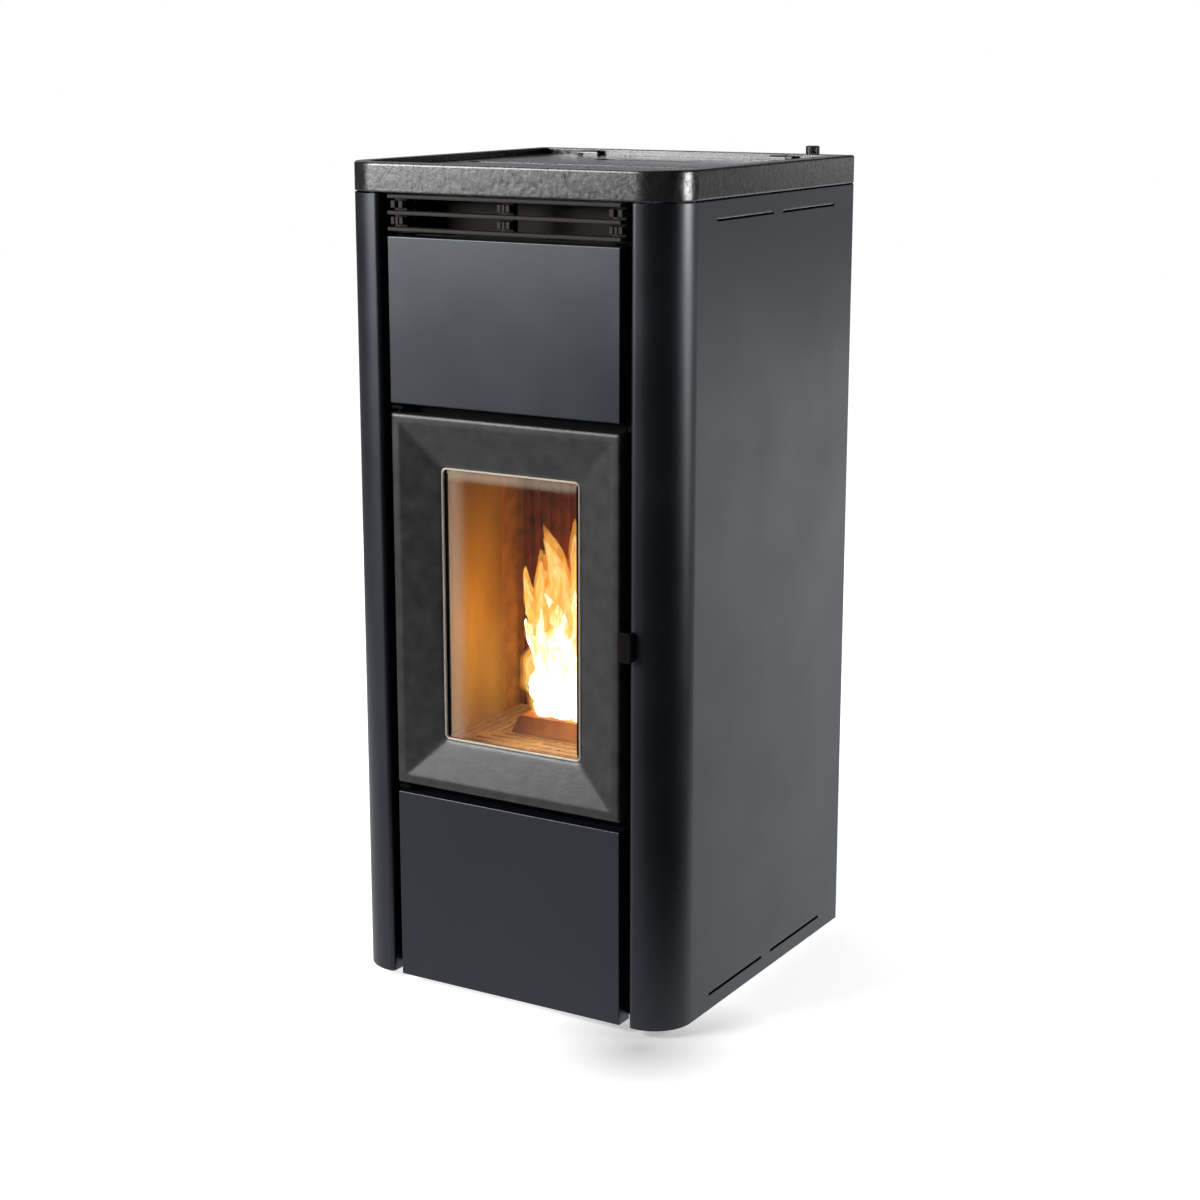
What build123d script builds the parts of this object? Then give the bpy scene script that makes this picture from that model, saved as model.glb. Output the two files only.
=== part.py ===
from build123d import *
import math
import os

# A compact domestic pellet stove. Origin on the floor under its middle, front towards -Y,
# right-hand side towards +X, +Z up, millimetres.

os.makedirs("parts", exist_ok=True)

# --- Driving sizes -------------------------------------------------------------------------
# Casing
shell_w = 500.0            # width over the side panels
shell_d = 500.0            # depth over the side panels
floor_gap = 12.0           # lower edge of the casing above the floor
side_h = 1063.0            # height of a side panel
sheet = 1.5                # thickness of the casing sheet
corner_r = 55.0            # rounded front corner
column_w = 63.0            # front width that a side panel wraps round to
column_edge_r = 6.0        # small bend at the inner edge of that wrap
return_d = 27.0            # depth of every fold that goes back from the front
slot_l = 154.0             # long vent slots in the sides
slot_h = 4.0
slot_edge = 61.0           # rear edge to the nearest slot
slot_space = 26.5          # between the two slots of a row
slot_inset_top = 23.6      # slot centre below the upper edge
slot_inset_low = 22.0      # slot centre above the lower edge
# Front inserts, from the bottom
column_gap = 14.0          # upright gap between an insert and a column
insert_w = shell_w - 2 * (column_w + column_gap)
insert_gap = 13.0
lower_panel_h = 265.0
door_h = 503.5
grille_zone_h = 53.0       # open height over the upper panel
upper_panel_h = side_h - lower_panel_h - door_h - 2 * insert_gap - grille_zone_h
panel_edge_r = 1.4
# Grille over the upper panel
bar_h = 5.0
bar_d = 16.0
bar_pitch = 20.7
bar_first = 8.8            # first bar's centre above the upper panel
bar_count = 3
bar_set_back = 1.0
spacer_w = 18.0
spacer_h = 9.0
spacer_inset = 10.5        # outer spacers' middle inside the ends of the bars
spacer_set_back = 7.0
mouth_inset = 27.0         # air outlet behind the grille, inside the ends of the bars
mouth_h = 46.0
# Cast top cover
cover_gap = 2.3            # shadow gap over the side panels
cover_h = 37.2
cover_wall = 6.0
cover_edge_r = 3.0
rim_w = 20.0               # raised rim
recess_d = 8.5             # sunk middle below the rim
deck_t = 5.0
front_casting_l = 348.0    # front casting, the rest is the rear one
seam = 0.4
ledge_w = 14.0             # ledges beside the hopper lid
deck_l = 242.0             # slotted deck, from the front rim back to the lid
top_slot_end = 50.0        # slot's end inside the casing's side
top_slot_w = 24.0
top_slot_pitch = 70.0
top_slot_count = 3
top_slot_first = 32.0      # first slot's centre in front of the lid
# Hopper lid
lid_t = 3.0
lid_gap = 3.0
lid_hinge_gap = 4.0        # behind the lid, to the rear rim
grip_l = 160.0             # finger pocket
grip_w = 34.0
grip_depth = 14.0
grip_r = 8.0
lid_knuckle_r = 4.0
lid_pin_r = 2.0
lid_knuckle_l = 24.0
hopper_lid_lap = 8.0       # lid's ends past the hopper
hopper_mouth_lap = 7.0     # lid's front edge past the hopper
hopper_drop = 6.0          # hopper's rim under the lid
lid_knuckle_inset = 63.0   # knuckle's middle inside the lid's end
lid_ear_l = 10.0
seal_w = 6.0
# Door
door_t = 23.5
door_rim = 11.5            # flat border outside the bevel
door_margin = 67.0         # outer edge to the glass opening
bevel_d = 16.0
opening_r = 8.0
door_edge_r = 2.5
glass_t = 4.0
glass_lap = 10.0           # glass behind the lip on every side
gasket_t = 1.5
lip_t = 2.0
rope_r = 4.0
rope_inset = 25.0          # rope's centre line inside the door's side edges
rope_inset_end = 12.8      # the same from the lower and upper edges
rope_corner_r = 14.0
hinge_x = 8.0              # hinge axis inside the door's left edge
hinge_y = 12.0             # and behind the door's face
hinge_pin_r = 4.0
hinge_pin_l = 12.0         # in the door
hinge_tab_t = 4.0
fit = 0.05                 # radial clearance of running fits
clear = 0.4                # clearance between pieces that move past each other
# Door latch
latch_x = 7.0              # spindle outside the door's right edge
latch_z = 525.8
spindle_r = 4.0
knob_w = 18.5
knob_h = 38.7
knob_d = 10.5
knob_gap = 1.5             # in front of the columns
knob_side = 3.2            # knob's left edge from the spindle's axis
cam_l = 20.0
cam_w = 10.0
cam_t = 4.0
# Firebox
fire_side_gap = 31.0       # firebox's outside within the inserts' width, each side
fire_t = 3.0
fire_rear_space = 245.0    # behind the firebox, for hopper, feed and fans
fire_floor_drop = 6.0      # firebox floor under the door
fire_front_t = 3.0
plate_side_gap = 2.0       # front plate to an upright
plate_gap = 1.0            # the same plate behind the inserts' folds
mouth_side_gap = 8.0       # door opening in the front plate, inside the cheeks
mouth_low_gap = 23.0       # its lower edge over the door's
mouth_high_gap = 22.5      # its upper edge under the door's
chamber_rise = 29.0        # gas chamber over that opening
chamber_h = 185.0
chamber_set_back = 44.0
vent_l = 50.0              # cooling vents low in the cheeks
vent_h = 90.0
vent_rise = 60.0
lining_t = 11.0
lining_short = 63.0        # rear end of the side linings, in front of the rear wall
rear_lining_t = 12.0
rib_pitch = 16.0
baffle_t = 8.0
grate_rise = 58.0          # over the firebox floor
grate_t = 6.0
pot_x = 54.0               # burn pot half width
pot_l = 108.0
pot_rear_gap = 27.0
pot_depth = 22.0           # under the grate's lower face
pot_rise = 29.0            # and over it
pot_flare = 8.0            # flange's reach past the pot
pot_t = 4.0
ledge_lap = 10.0           # ledges that carry the grate, past the linings' face
ledge_t = 4.0
pan_front_gap = 14.0
pan_rear_gap = 20.0
pan_t = 1.5
pan_side_gap = 2.0
tube_r = 19.0
tube_t = 1.5
tube_rows = 2
tube_columns = 4
tube_pitch_x = 60.0
tube_pitch_z = 70.0
tube_rise = 60.0           # lower row over the chamber's floor
# Hopper and feed
hopper_rear_gap = 25.0
hopper_riser_gap = 6.0     # lower part, behind the air riser
cone_h = 130.0
hopper_t = 1.5
hopper_lug_l = 140.0
throat_x = 30.0
throat_l = 54.0
throat_rise = 80.0         # throat's top over the auger's middle
feed_inset = 135.0         # auger's middle, from the back
feed_rise = 208.0          # and over the grate
feed_up = 88.0             # tube's reach along its axis
feed_down = 75.0
feed_r = 32.0
feed_t = 2.0
feed_tilt = 45.0
auger_r = 28.0
auger_shaft_r = 8.0
auger_pitch = 40.0
auger_flight_t = 3.0
gearbox_h = 42.0
gearbox_x = 30.0
gearbox_y = 28.0
stack_h = 24.0
chute_x = 28.0
chute_h = 56.0
# Air riser behind the firebox
riser_inset = 4.0          # riser's outside within the firebox's
riser_gap = 3.0
riser_d = 42.0
riser_z = 140.0
riser_window_x = 47.0
riser_window_z0 = 200.0
riser_window_rise = 50.0   # window's top over the chamber's floor
riser_t = 1.0
# Room air blower
blower_x = 92.0
blower_gap = 57.0          # axis behind the firebox
blower_z = 82.0
blower_rotor_r = 30.0
blower_casing_r = 42.0
blower_motor_r = 28.0
blower_motor_l = 44.0
blade_count = 18
# Smoke fan and flue
fan_inset = 110.0          # axis from the back
fan_z = 225.0
fan_w = 64.0
fan_r = 75.0
fan_t = 3.0
fan_inlet_r = 34.0
fan_inlet_l = 6.0
fan_blades = 8
fan_motor_r = 36.0
fan_motor_l = 44.0
fan_motor_gap = 8.0
volute_h = 82.0
flue_plate_gap = 24.0      # plate that carries the spigot, before the rear panel
flue_plate_x = 45.0
flue_r = 40.0
flue_out = 12.0            # beyond the casing
flue_t = 2.0
flue_hole_gap = 20.0       # rear panel round the spigot
duct_gap = 1.0             # smoke duct beside the cheek
duct_w = 44.0
duct_rear_gap = 7.0
duct_d = 58.0
duct_h = 84.0              # its lower, level part
duct_window_edge = 10.0
# Air intake
intake_space = 16.0        # pipe to the smoke fan's motor
intake_drop = 39.0         # axis under the firebox floor
intake_r = 25.0
intake_t = 1.5
intake_ring = 4.0          # stop ring's reach round the pipe
intake_ring_gap = 6.0      # stop ring before the rear panel
intake_hole_gap = 12.0
# Base, feet, posts
base_t = 2.0
base_lift = 6.0            # base plate over the casing's lower edge
base_flange = 20.0
foot_inset = 45.0          # from the sides and from the back
foot_inset_front = 90.0
foot_pad_r = 20.0
foot_pad_h = 8.0
stud_r = 5.0
stud_top = 45.0
nut_r = 9.0
nut_h = 12.0
web_t = 2.0
web_w = 32.0
upright_leg = 34.0
upright_cap = 18.0
upright_lap = 19.0         # upright's web reaches in behind the front inserts
post_w = 20.0
# Rear panel services
socket_inset = 45.0        # from the left-hand side
socket_z = 85.0
socket_w = 27.0
socket_h = 20.0
rocker_z = 112.0
rocker_w = 18.0
rocker_h = 12.0
cap_inset = 58.0           # screw cap of the safety thermostat, from the right-hand side
cap_r = 9.4
cap_h = 11.0
screw_r = 4.0
# Control board on its carrier
board_l = 160.0
board_h = 130.0
board_rear_gap = 180.0     # carrier's rear end, from the back
board_off = 8.0            # board off its carrier
relay_l = 16.0
relay_h = 28.0
relay_d = 14.0
relay_pitch = 25.0

# --- Places worked out from them -----------------------------------------------------------
side_x = shell_w / 2
front_y = -shell_d / 2
rear_y = shell_d / 2
column_x = side_x - column_w
insert_x = insert_w / 2
side_z0 = floor_gap
side_z1 = side_z0 + side_h
lower_z1 = side_z0 + lower_panel_h
door_z0 = lower_z1 + insert_gap
door_z1 = door_z0 + door_h
upper_z0 = door_z1 + insert_gap
upper_z1 = upper_z0 + upper_panel_h
web_y = front_y + return_d
cover_z0 = side_z1 + cover_gap
cover_z1 = cover_z0 + cover_h
deck_z1 = cover_z1 - recess_d
deck_z0 = deck_z1 - deck_t
rim_x = side_x - rim_w
rim_front = front_y + rim_w
rim_rear = rear_y - rim_w
seam_y = front_y + front_casting_l
deck_y1 = rim_front + deck_l
lid_x = rim_x - ledge_w - lid_gap
lid_y0 = deck_y1 + lid_gap
lid_y1 = rim_rear - lid_hinge_gap
lid_z1 = deck_z1
lid_z0 = lid_z1 - lid_t
lid_axis_y = lid_y1 - lid_knuckle_r - 1.0
lid_axis_z = lid_z1 + lid_knuckle_r - 0.5
door_back = front_y + door_t
opening_x = insert_x - door_margin
opening_z0 = door_z0 + door_margin - 1.0
opening_z1 = door_z1 - door_margin - 1.5
glass_x = opening_x + glass_lap
glass_z0 = opening_z0 - glass_lap
glass_z1 = opening_z1 + glass_lap
lip_back = front_y + bevel_d + lip_t
glass_y0 = lip_back + gasket_t
glass_y1 = glass_y0 + glass_t
door_axis_x = -insert_x + hinge_x
door_axis_y = front_y + hinge_y
latch_axis_x = insert_x + latch_x
knob_y1 = front_y - knob_gap
knob_y0 = knob_y1 - knob_d
spacer_end = insert_x - spacer_inset
mouth_w = 2 * (insert_x - mouth_inset)
top_slot_l = 2 * (side_x - top_slot_end)
lid_knuckle_x = lid_x - lid_knuckle_inset
upright_x = column_x - upright_lap
fire_x = insert_x - fire_side_gap
fire_back = rear_y - fire_rear_space
fire_floor = door_z0 - fire_floor_drop
plate_y = web_y + plate_gap
fire_front = plate_y + fire_front_t
fire_front_x = upright_x - plate_side_gap
mouth_x = fire_x - mouth_side_gap
mouth_z0 = door_z0 + mouth_low_gap
mouth_z1 = door_z1 - mouth_high_gap
chamber_z = mouth_z1 + chamber_rise
chamber_top = chamber_z + chamber_h
chamber_front = fire_front + chamber_set_back
lining_x = fire_x - fire_t - lining_t
lining_back = fire_back - lining_short
lining_front = fire_back - fire_t - rear_lining_t
baffle_z = mouth_z1
grate_z = fire_floor + grate_rise
grate_back = lining_front - 2.0
pot_back = fire_back - pot_rear_gap
pot_front = pot_back - pot_l
pot_z = grate_z - pot_depth
pot_top = grate_z + pot_rise
ledge_x = lining_x - ledge_lap
pan_x = ledge_x - pan_side_gap
pan_front = fire_front + pan_front_gap
pan_back = fire_back - pan_rear_gap
tube_z = chamber_z + tube_rise
riser_x = fire_x - riser_inset
riser_front = fire_back + riser_gap
riser_back = riser_front + riser_d
riser_window_z1 = chamber_z + riser_window_rise
hopper_x = lid_x - hopper_lid_lap
hopper_front = lid_y0 + hopper_mouth_lap
hopper_throat_front = riser_back + hopper_riser_gap
hopper_back = rear_y - hopper_rear_gap
hopper_top = lid_z0 - hopper_drop
hopper_step = chamber_top
feed_y = rear_y - feed_inset
feed_z = grate_z + feed_rise
throat_z = feed_z + throat_rise
hopper_cone = throat_z + cone_h
blower_y = fire_back + blower_gap
duct_x0 = fire_x + duct_gap
duct_x1 = duct_x0 + duct_w
duct_y1 = fire_back - duct_rear_gap
duct_y0 = duct_y1 - duct_d
duct_window_y = (duct_y0 + duct_window_edge, duct_y1 - duct_window_edge)
duct_window_z = (chamber_z + 3 * duct_window_edge, chamber_top - 3 * duct_window_edge)
fan_x = duct_x0 - fan_inlet_l - fan_w / 2
fan_y = rear_y - fan_inset
fan_motor_x = fan_x - fan_w / 2 - fan_motor_gap
intake_x = fan_motor_x - fan_motor_l - intake_space - intake_r
intake_z = fire_floor - intake_drop
foot_x = side_x - foot_inset
foot_y_front = front_y + foot_inset_front
foot_y_rear = rear_y - foot_inset
socket_x = -(side_x - socket_inset)
cap_x = side_x - cap_inset
base_z0 = side_z0 + base_lift
base_z1 = base_z0 + base_t
inner_x = side_x - sheet
rear_panel_y1 = rear_y - 2.0
rear_panel_y0 = rear_panel_y1 - sheet
post_x = inner_x
spigot_end = rear_y + flue_out
volute_z = fan_z - fan_r / 2 + 2.5


# --- Helpers -------------------------------------------------------------------------------
def block(x, y, z):
    """A box between three pairs of faces."""
    sizes = [abs(pair[1] - pair[0]) for pair in (x, y, z)]
    middle = [(pair[0] + pair[1]) / 2 for pair in (x, y, z)]
    return Pos(*middle) * Box(*sizes)


def rod_x(x, y, z, r):
    """A cylinder along X between two x values."""
    return Pos((x[0] + x[1]) / 2, y, z) * Rot(0, 90, 0) * Cylinder(r, abs(x[1] - x[0]))


def rod_y(x, y, z, r):
    """A cylinder along Y between two y values."""
    return Pos(x, (y[0] + y[1]) / 2, z) * Rot(90, 0, 0) * Cylinder(r, abs(y[1] - y[0]))


def rod_z(x, y, z, r):
    """A cylinder along Z between two z values."""
    return Pos(x, y, (z[0] + z[1]) / 2) * Cylinder(r, abs(z[1] - z[0]))


def pair_x(shape):
    """A shape and its mirror image across the middle."""
    return [shape, mirror(shape, Plane.YZ)]


def joined(shapes):
    """Overlapping or touching shapes as one solid."""
    whole = shapes[0]
    for shape in shapes[1:]:
        whole = whole + shape
    return whole


def group(shapes):
    """Separate solids that share one node."""
    return Compound(children=list(shapes))


def face_plane(y, z):
    """A plane that faces the front, at a depth and a height."""
    return Plane(origin=(0, y, z), x_dir=(1, 0, 0), z_dir=(0, -1, 0))


def front_pan(z0, z1):
    """A front panel folded back on all four sides."""
    outside = block((-insert_x, insert_x), (front_y, web_y), (z0, z1))
    outside = fillet(outside.faces().sort_by(Axis.Y)[0].edges(), panel_edge_r)
    inside = block(
        (-insert_x + sheet, insert_x - sheet), (front_y + sheet, web_y + 1), (z0 + sheet, z1 - sheet)
    )
    return outside - inside


def cover_outline(z0, z1, inset):
    """The casing's plan with its rounded front corners, moved in by a distance."""
    corner = corner_r - inset
    plan = FilletPolyline(
        (-side_x + inset, rear_y - inset),
        (-side_x + inset, front_y + inset),
        (side_x - inset, front_y + inset),
        (side_x - inset, rear_y - inset),
        radius=corner,
    )
    face = make_face([plan, Line(plan @ 1, plan @ 0)])
    return Pos(0, 0, z0) * extrude(face, z1 - z0)


# --- Casing --------------------------------------------------------------------------------
def side_panel():
    """Right-hand side: flat side, rounded corner, front strip and the fold behind it."""
    outer = FilletPolyline(
        (side_x, rear_y),
        (side_x, front_y),
        (column_x, front_y),
        (column_x, web_y),
        radius=[corner_r, column_edge_r],
    )
    inner = FilletPolyline(
        (side_x - sheet, rear_y),
        (side_x - sheet, front_y + sheet),
        (column_x + sheet, front_y + sheet),
        (column_x + sheet, web_y),
        radius=[corner_r - sheet, column_edge_r - sheet],
    )
    profile = make_face([outer, inner, Line(outer @ 0, inner @ 0), Line(outer @ 1, inner @ 1)])
    panel = Pos(0, 0, side_z0) * extrude(profile, side_h)
    for z in (side_z0 + slot_inset_low, side_z1 - slot_inset_top):
        for index in range(2):
            y1 = rear_y - slot_edge - index * (slot_l + slot_space)
            slot_z = (z - slot_h / 2, z + slot_h / 2)
            panel -= block((side_x - 4 * sheet, side_x + sheet), (y1 - slot_l, y1), slot_z)
    return panel


def rear_panel():
    """Rear cover with louvre slots and the clearance holes of the flue, intake and socket."""
    x = inner_x - clear
    panel = block((-x, x), (rear_panel_y0, rear_panel_y1), (base_z1, side_z1 - 1.0))
    cut = (rear_panel_y0 - 1, rear_panel_y1 + 1)
    panel -= rod_y(fan_x, cut, volute_z, flue_r + flue_hole_gap)
    panel -= rod_y(intake_x, cut, intake_z, intake_r + intake_hole_gap)
    panel -= block(
        (socket_x - socket_w / 2 - 1, socket_x + socket_w / 2 + 1),
        cut,
        (socket_z - socket_h / 2 - 1, rocker_z + rocker_h / 2 + 3),
    )
    for x, z in rear_screw_places():
        panel -= rod_y(x, cut, z, screw_r / 2 + 0.3)
    for row in range(8):
        for side in (-1, 1):
            z = 820 + row * 22
            panel -= block((side * 60, side * 180), cut, (z, z + 6))
    for row in range(4):
        z = 330 + row * 22
        panel -= block((-180, -80), cut, (z, z + 6))
    return panel


def rear_screw_places():
    """Axes of the rear panel's screws, over the rear posts."""
    x = post_x - post_w / 2
    heights = [base_z1 + 40 + index * (side_h - 100) / 4 for index in range(5)]
    return [(side * x, z) for z in heights for side in (-1, 1)]


def rear_panel_screws():
    """Pan-head screws round the edge of the rear panel, into the rear posts."""
    screws = []
    for x, z in rear_screw_places():
        head = rod_y(x, (rear_panel_y1, rear_panel_y1 + 2), z, screw_r)
        screws.append(head + rod_y(x, (rear_panel_y0, rear_panel_y1 + 1), z, screw_r / 2))
    return group(screws)


def grille_heights():
    """Centre heights of the grille bars."""
    return [upper_z1 + bar_first + index * bar_pitch for index in range(bar_count)]


def grille_bars():
    """Long bars across the warm air outlet."""
    bars = []
    y0 = front_y + bar_set_back
    for z in grille_heights():
        bar = block((-insert_x, insert_x), (y0, y0 + bar_d), (z - bar_h / 2, z + bar_h / 2))
        bars.append(fillet(bar.faces().sort_by(Axis.Y)[0].edges(), 1.2))
    return group(bars)


def spacer_block(x, z, split):
    """One ribbed spacer between two bars; a split one is only its two outer ribs."""
    y0 = front_y + spacer_set_back
    y1 = front_y + bar_set_back + bar_d
    body = block((x - spacer_w / 2, x + spacer_w / 2), (y0, y1), (z - spacer_h / 2, z + spacer_h / 2))
    groove_w = spacer_w / 9
    if split:
        body -= block((x - spacer_w / 6, x + spacer_w / 6), (y0 - 1, y1 - 3), (z - spacer_h, z + spacer_h))
    else:
        for side in (-1, 1):
            middle = x + side * spacer_w / 6
            groove_x = (middle - groove_w / 2, middle + groove_w / 2)
            body -= block(groove_x, (y0 - 1, y0 + 2), (z - spacer_h, z + spacer_h))
    return body


def grille_comb():
    """Upright combs that carry the bars from behind, with a ribbed spacer in every gap."""
    heights = grille_heights()
    y1 = front_y + bar_set_back + bar_d
    pieces = []
    comb_z = (heights[0] - bar_h / 2, heights[-1] + bar_h / 2)
    for x in (-spacer_end, 0, spacer_end):
        comb = block((x - spacer_w / 2, x + spacer_w / 2), (y1, web_y), comb_z)
        for row in range(bar_count - 1):
            z = (heights[row] + heights[row + 1]) / 2
            comb += spacer_block(x, z, row == bar_count - 2 and x != 0)
        pieces.append(comb)
    return group(pieces)


def warm_air_duct():
    """Sheet duct from the exchanger tubes up to the grille, with a black face behind the bars."""
    x = mouth_w / 2 + 4
    top = side_z1 - 1.0
    face_z0 = upper_z1 + 2.0
    y0 = fire_front + 0.5
    y1 = chamber_front - 0.5
    z0 = chamber_z + 5
    outer = block((-x, x), (y0, y1), (z0, top))
    inner = block((-x + sheet, x - sheet), (y0 + sheet, y1 - sheet), (z0 + sheet, top - sheet))
    flange_x = upright_x - 0.5
    flange = block((-flange_x, flange_x), (web_y, y0 + sheet), (face_z0, top))
    mouth = block((-mouth_w / 2, mouth_w / 2), (web_y - 1, y0 + sheet + 1), (top - 4 - mouth_h, top - 4))
    tubes = block((-x + 12, x - 12), (y1 - sheet - 1, y1 + 1), (tube_z - 30, tube_z + tube_pitch_z + 30))
    return outer + flange - inner - mouth - tubes


def front_uprights():
    """Folded uprights behind the two front gaps; the panels and columns bear on their webs."""
    x0 = upright_x
    x1 = x0 + web_w
    web = block((x0, x1), (web_y, web_y + web_t), (base_z1, side_z1 - 1.0))
    leg = block((x1 - web_t, x1), (web_y, web_y + upright_leg), (base_z1, side_z1 - 1.0))
    cap_x1 = x1 + upright_cap
    cap = block((x1 - web_t, cap_x1), (web_y, web_y + upright_leg), (side_z1 - 1.0 - web_t, side_z1 - 1.0))
    upright = web + leg + cap
    notch_z = (latch_z - cam_l - 6, latch_z + cam_l + 6)
    notch = block((x0 - 1, column_x + 3), (web_y - 1, web_y + web_t + 1), notch_z)
    return group([upright - notch, mirror(upright, Plane.YZ)])


def rear_posts():
    """Angle posts in the rear corners, with the rails that carry the hopper."""
    x1 = post_x
    x0 = x1 - post_w
    y1 = rear_panel_y0
    y0 = y1 - post_w
    top = side_z1 - 1.0
    post = block((x0, x1), (y1 - web_t, y1), (base_z1, top))
    post += block((x1 - web_t, x1), (y0, y1), (base_z1, top))
    post += block((x0, x1), (y0, y1), (top - web_t, top))
    rail_y0 = web_y + upright_leg
    rail_z1 = top - web_t
    rail = block((x0, x1), (rail_y0, y0 + 1), (rail_z1 - web_t, rail_z1))
    rail += block((x1 - web_t, x1), (rail_y0, y0 + 1), (rail_z1 - post_w, rail_z1))
    return group(pair_x(post + rail))


def base_tray():
    """Base plate with turned-up edges, welded nuts for the feet and holes for their studs."""
    x = inner_x - clear
    y1 = rear_panel_y0 - clear
    step_y = front_y + corner_r + 5
    plate = block((-x, x), (step_y, y1), (base_z0, base_z1))
    plate += block((-column_x + 3, column_x - 3), (web_y + web_t, step_y), (base_z0, base_z1))
    flange_z = (base_z0, base_z1 + base_flange)
    for side in (-1, 1):
        plate += block((side * upright_x, side * (upright_x + web_w)), (web_y, step_y), (base_z0, base_z1))
        plate += block((side * (x - base_t), side * x), (step_y, y1 - post_w - clear), flange_z)
    plate += block((-x + post_w + 5, x - post_w - 5), (y1 - base_t, y1), flange_z)
    for fx, fy in foot_places():
        plate += rod_z(fx, fy, (base_z1 - 0.5, base_z1 + nut_h), nut_r)
    for fx, fy in foot_places():
        plate -= rod_z(fx, fy, (base_z0 - 1, base_z1 + nut_h + 1), stud_r + fit)
    plate -= block((-50, 50), (front_y + 100, front_y + 180), (base_z0 - 1, base_z1 + 1))
    return plate


def foot_places():
    """Axes of the four feet: front left, front right, rear left, rear right."""
    return [(x, y) for y in (foot_y_front, foot_y_rear) for x in (-foot_x, foot_x)]


def foot(x, y):
    """Levelling foot: a bevelled pad on a threaded stud."""
    pad = Pos(x, y, foot_pad_h / 2) * Cylinder(foot_pad_r, foot_pad_h)
    pad = fillet(pad.edges().sort_by(Axis.Z)[-1], 2.5)
    hexagon = Pos(x, y, foot_pad_h - 0.5) * extrude(RegularPolygon(9.0, 6), 5.0)
    return pad + hexagon + rod_z(x, y, (foot_pad_h - 1, stud_top), stud_r)


# --- Cast top cover and hopper lid ---------------------------------------------------------
def whole_cover():
    """Both castings of the top cover in one: skirt, raised rim, sunk deck and ledges."""
    outer = cover_outline(cover_z0, cover_z1, 0)
    outer = fillet(outer.faces().sort_by(Axis.Z)[-1].edges(), cover_edge_r)
    hollow = cover_outline(cover_z0 - 1, deck_z0, cover_wall)
    shape = outer - hollow
    sunk = FilletPolyline(
        (-rim_x, rim_rear),
        (-rim_x, rim_front),
        (rim_x, rim_front),
        (rim_x, rim_rear),
        radius=corner_r - rim_w,
    )
    sunk_face = make_face([sunk, Line(sunk @ 1, sunk @ 0)])
    shape -= Pos(0, 0, deck_z1) * extrude(sunk_face, recess_d + 1)
    shape -= block((-rim_x + ledge_w, rim_x - ledge_w), (deck_y1, rim_rear), (deck_z0 - 1, deck_z1 + 1))
    boss_y = web_y + 24
    for x in (-(column_x + 22), column_x + 22):
        shape += rod_z(x, boss_y, (side_z1 - 1.0, deck_z0 + 1), 6)
    rear_boss_y = rear_panel_y0 - post_w / 2
    for x in (-(post_x - post_w / 2), post_x - post_w / 2):
        shape += rod_z(x, rear_boss_y, (side_z1 - 1.0, cover_z1 - deck_t), 6)
    return shape


def top_cover_front(cover):
    """Front casting, with its long convection slots in front of the hopper lid."""
    shape = cover & block((-side_x - 1, side_x + 1), (front_y - 1, seam_y), (0, cover_z1 + 1))
    for index in range(top_slot_count):
        y = deck_y1 - top_slot_first - index * top_slot_pitch
        slot = Pos(0, y, deck_z0 - 1) * extrude(SlotOverall(top_slot_l, top_slot_w), deck_t + 2)
        shape -= slot
    return shape


def top_cover_rear(cover):
    """Rear casting, with the hole for the thermostat's bush in its rim."""
    shape = cover & block((-side_x - 1, side_x + 1), (seam_y + seam, rear_y + 1), (0, cover_z1 + 1))
    shape -= rod_z(cap_x, rear_y - rim_w / 2, (deck_z0 - 1, cover_z1 + 1), 5.2)
    return shape


def hopper_lid():
    """Steel lid with a pressed finger pocket and two hinge knuckles."""
    plate = block((-lid_x, lid_x), (lid_y0, lid_y1), (lid_z0, lid_z1))
    plate = fillet(plate.edges().filter_by(Axis.Z), 3.0)
    y = (lid_y0 + lid_y1) / 2
    pocket_z0 = lid_z1 - grip_depth
    pressed = RectangleRounded(grip_l + 2 * sheet, grip_w + 2 * sheet, grip_r + sheet)
    plate += Pos(0, y, pocket_z0) * extrude(pressed, grip_depth - 1)
    plate -= Pos(0, y, pocket_z0 + sheet) * extrude(RectangleRounded(grip_l, grip_w, grip_r), grip_depth)
    for x in (-lid_knuckle_x, lid_knuckle_x):
        span = (x - lid_knuckle_l / 2, x + lid_knuckle_l / 2)
        plate += rod_x(span, lid_axis_y, lid_axis_z, lid_knuckle_r)
        plate += block(span, (lid_axis_y - lid_knuckle_r, lid_axis_y + 2), (lid_z1 - 1, lid_axis_z))
        plate -= rod_x((span[0] - 1, span[1] + 1), lid_axis_y, lid_axis_z, lid_pin_r + fit)
    return plate


def hopper_lid_seal():
    """Rubber ring under the lid that meets the hopper's flange."""
    x1 = hopper_x - 3
    y0 = hopper_front + 3
    y1 = hopper_back - 8
    z = (hopper_top + clear, lid_z0)
    inside = block((-x1 + seal_w, x1 - seal_w), (y0 + seal_w, y1 - seal_w), (z[0] - 1, z[1] + 1))
    return block((-x1, x1), (y0, y1), z) - inside


def lid_hinges():
    """Fixed ears on the rear rim, each with its pin through the lid's knuckle."""
    ears = []
    for side in (-1, 1):
        start = side * (lid_knuckle_x + lid_knuckle_l / 2 + clear)
        end = side * (lid_knuckle_x + lid_knuckle_l / 2 + lid_ear_l)
        ear_r = lid_knuckle_r - 0.5 - clear
        ear = rod_x((start, end), lid_axis_y, lid_axis_z, ear_r)
        ear += block((start, end), (lid_axis_y, rim_rear), (lid_axis_z - ear_r, lid_axis_z + 2))
        pin_end = side * (lid_knuckle_x - lid_knuckle_l / 2)
        ears.append(ear + rod_x((end, pin_end), lid_axis_y, lid_axis_z, lid_pin_r))
    return group(ears)


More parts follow.
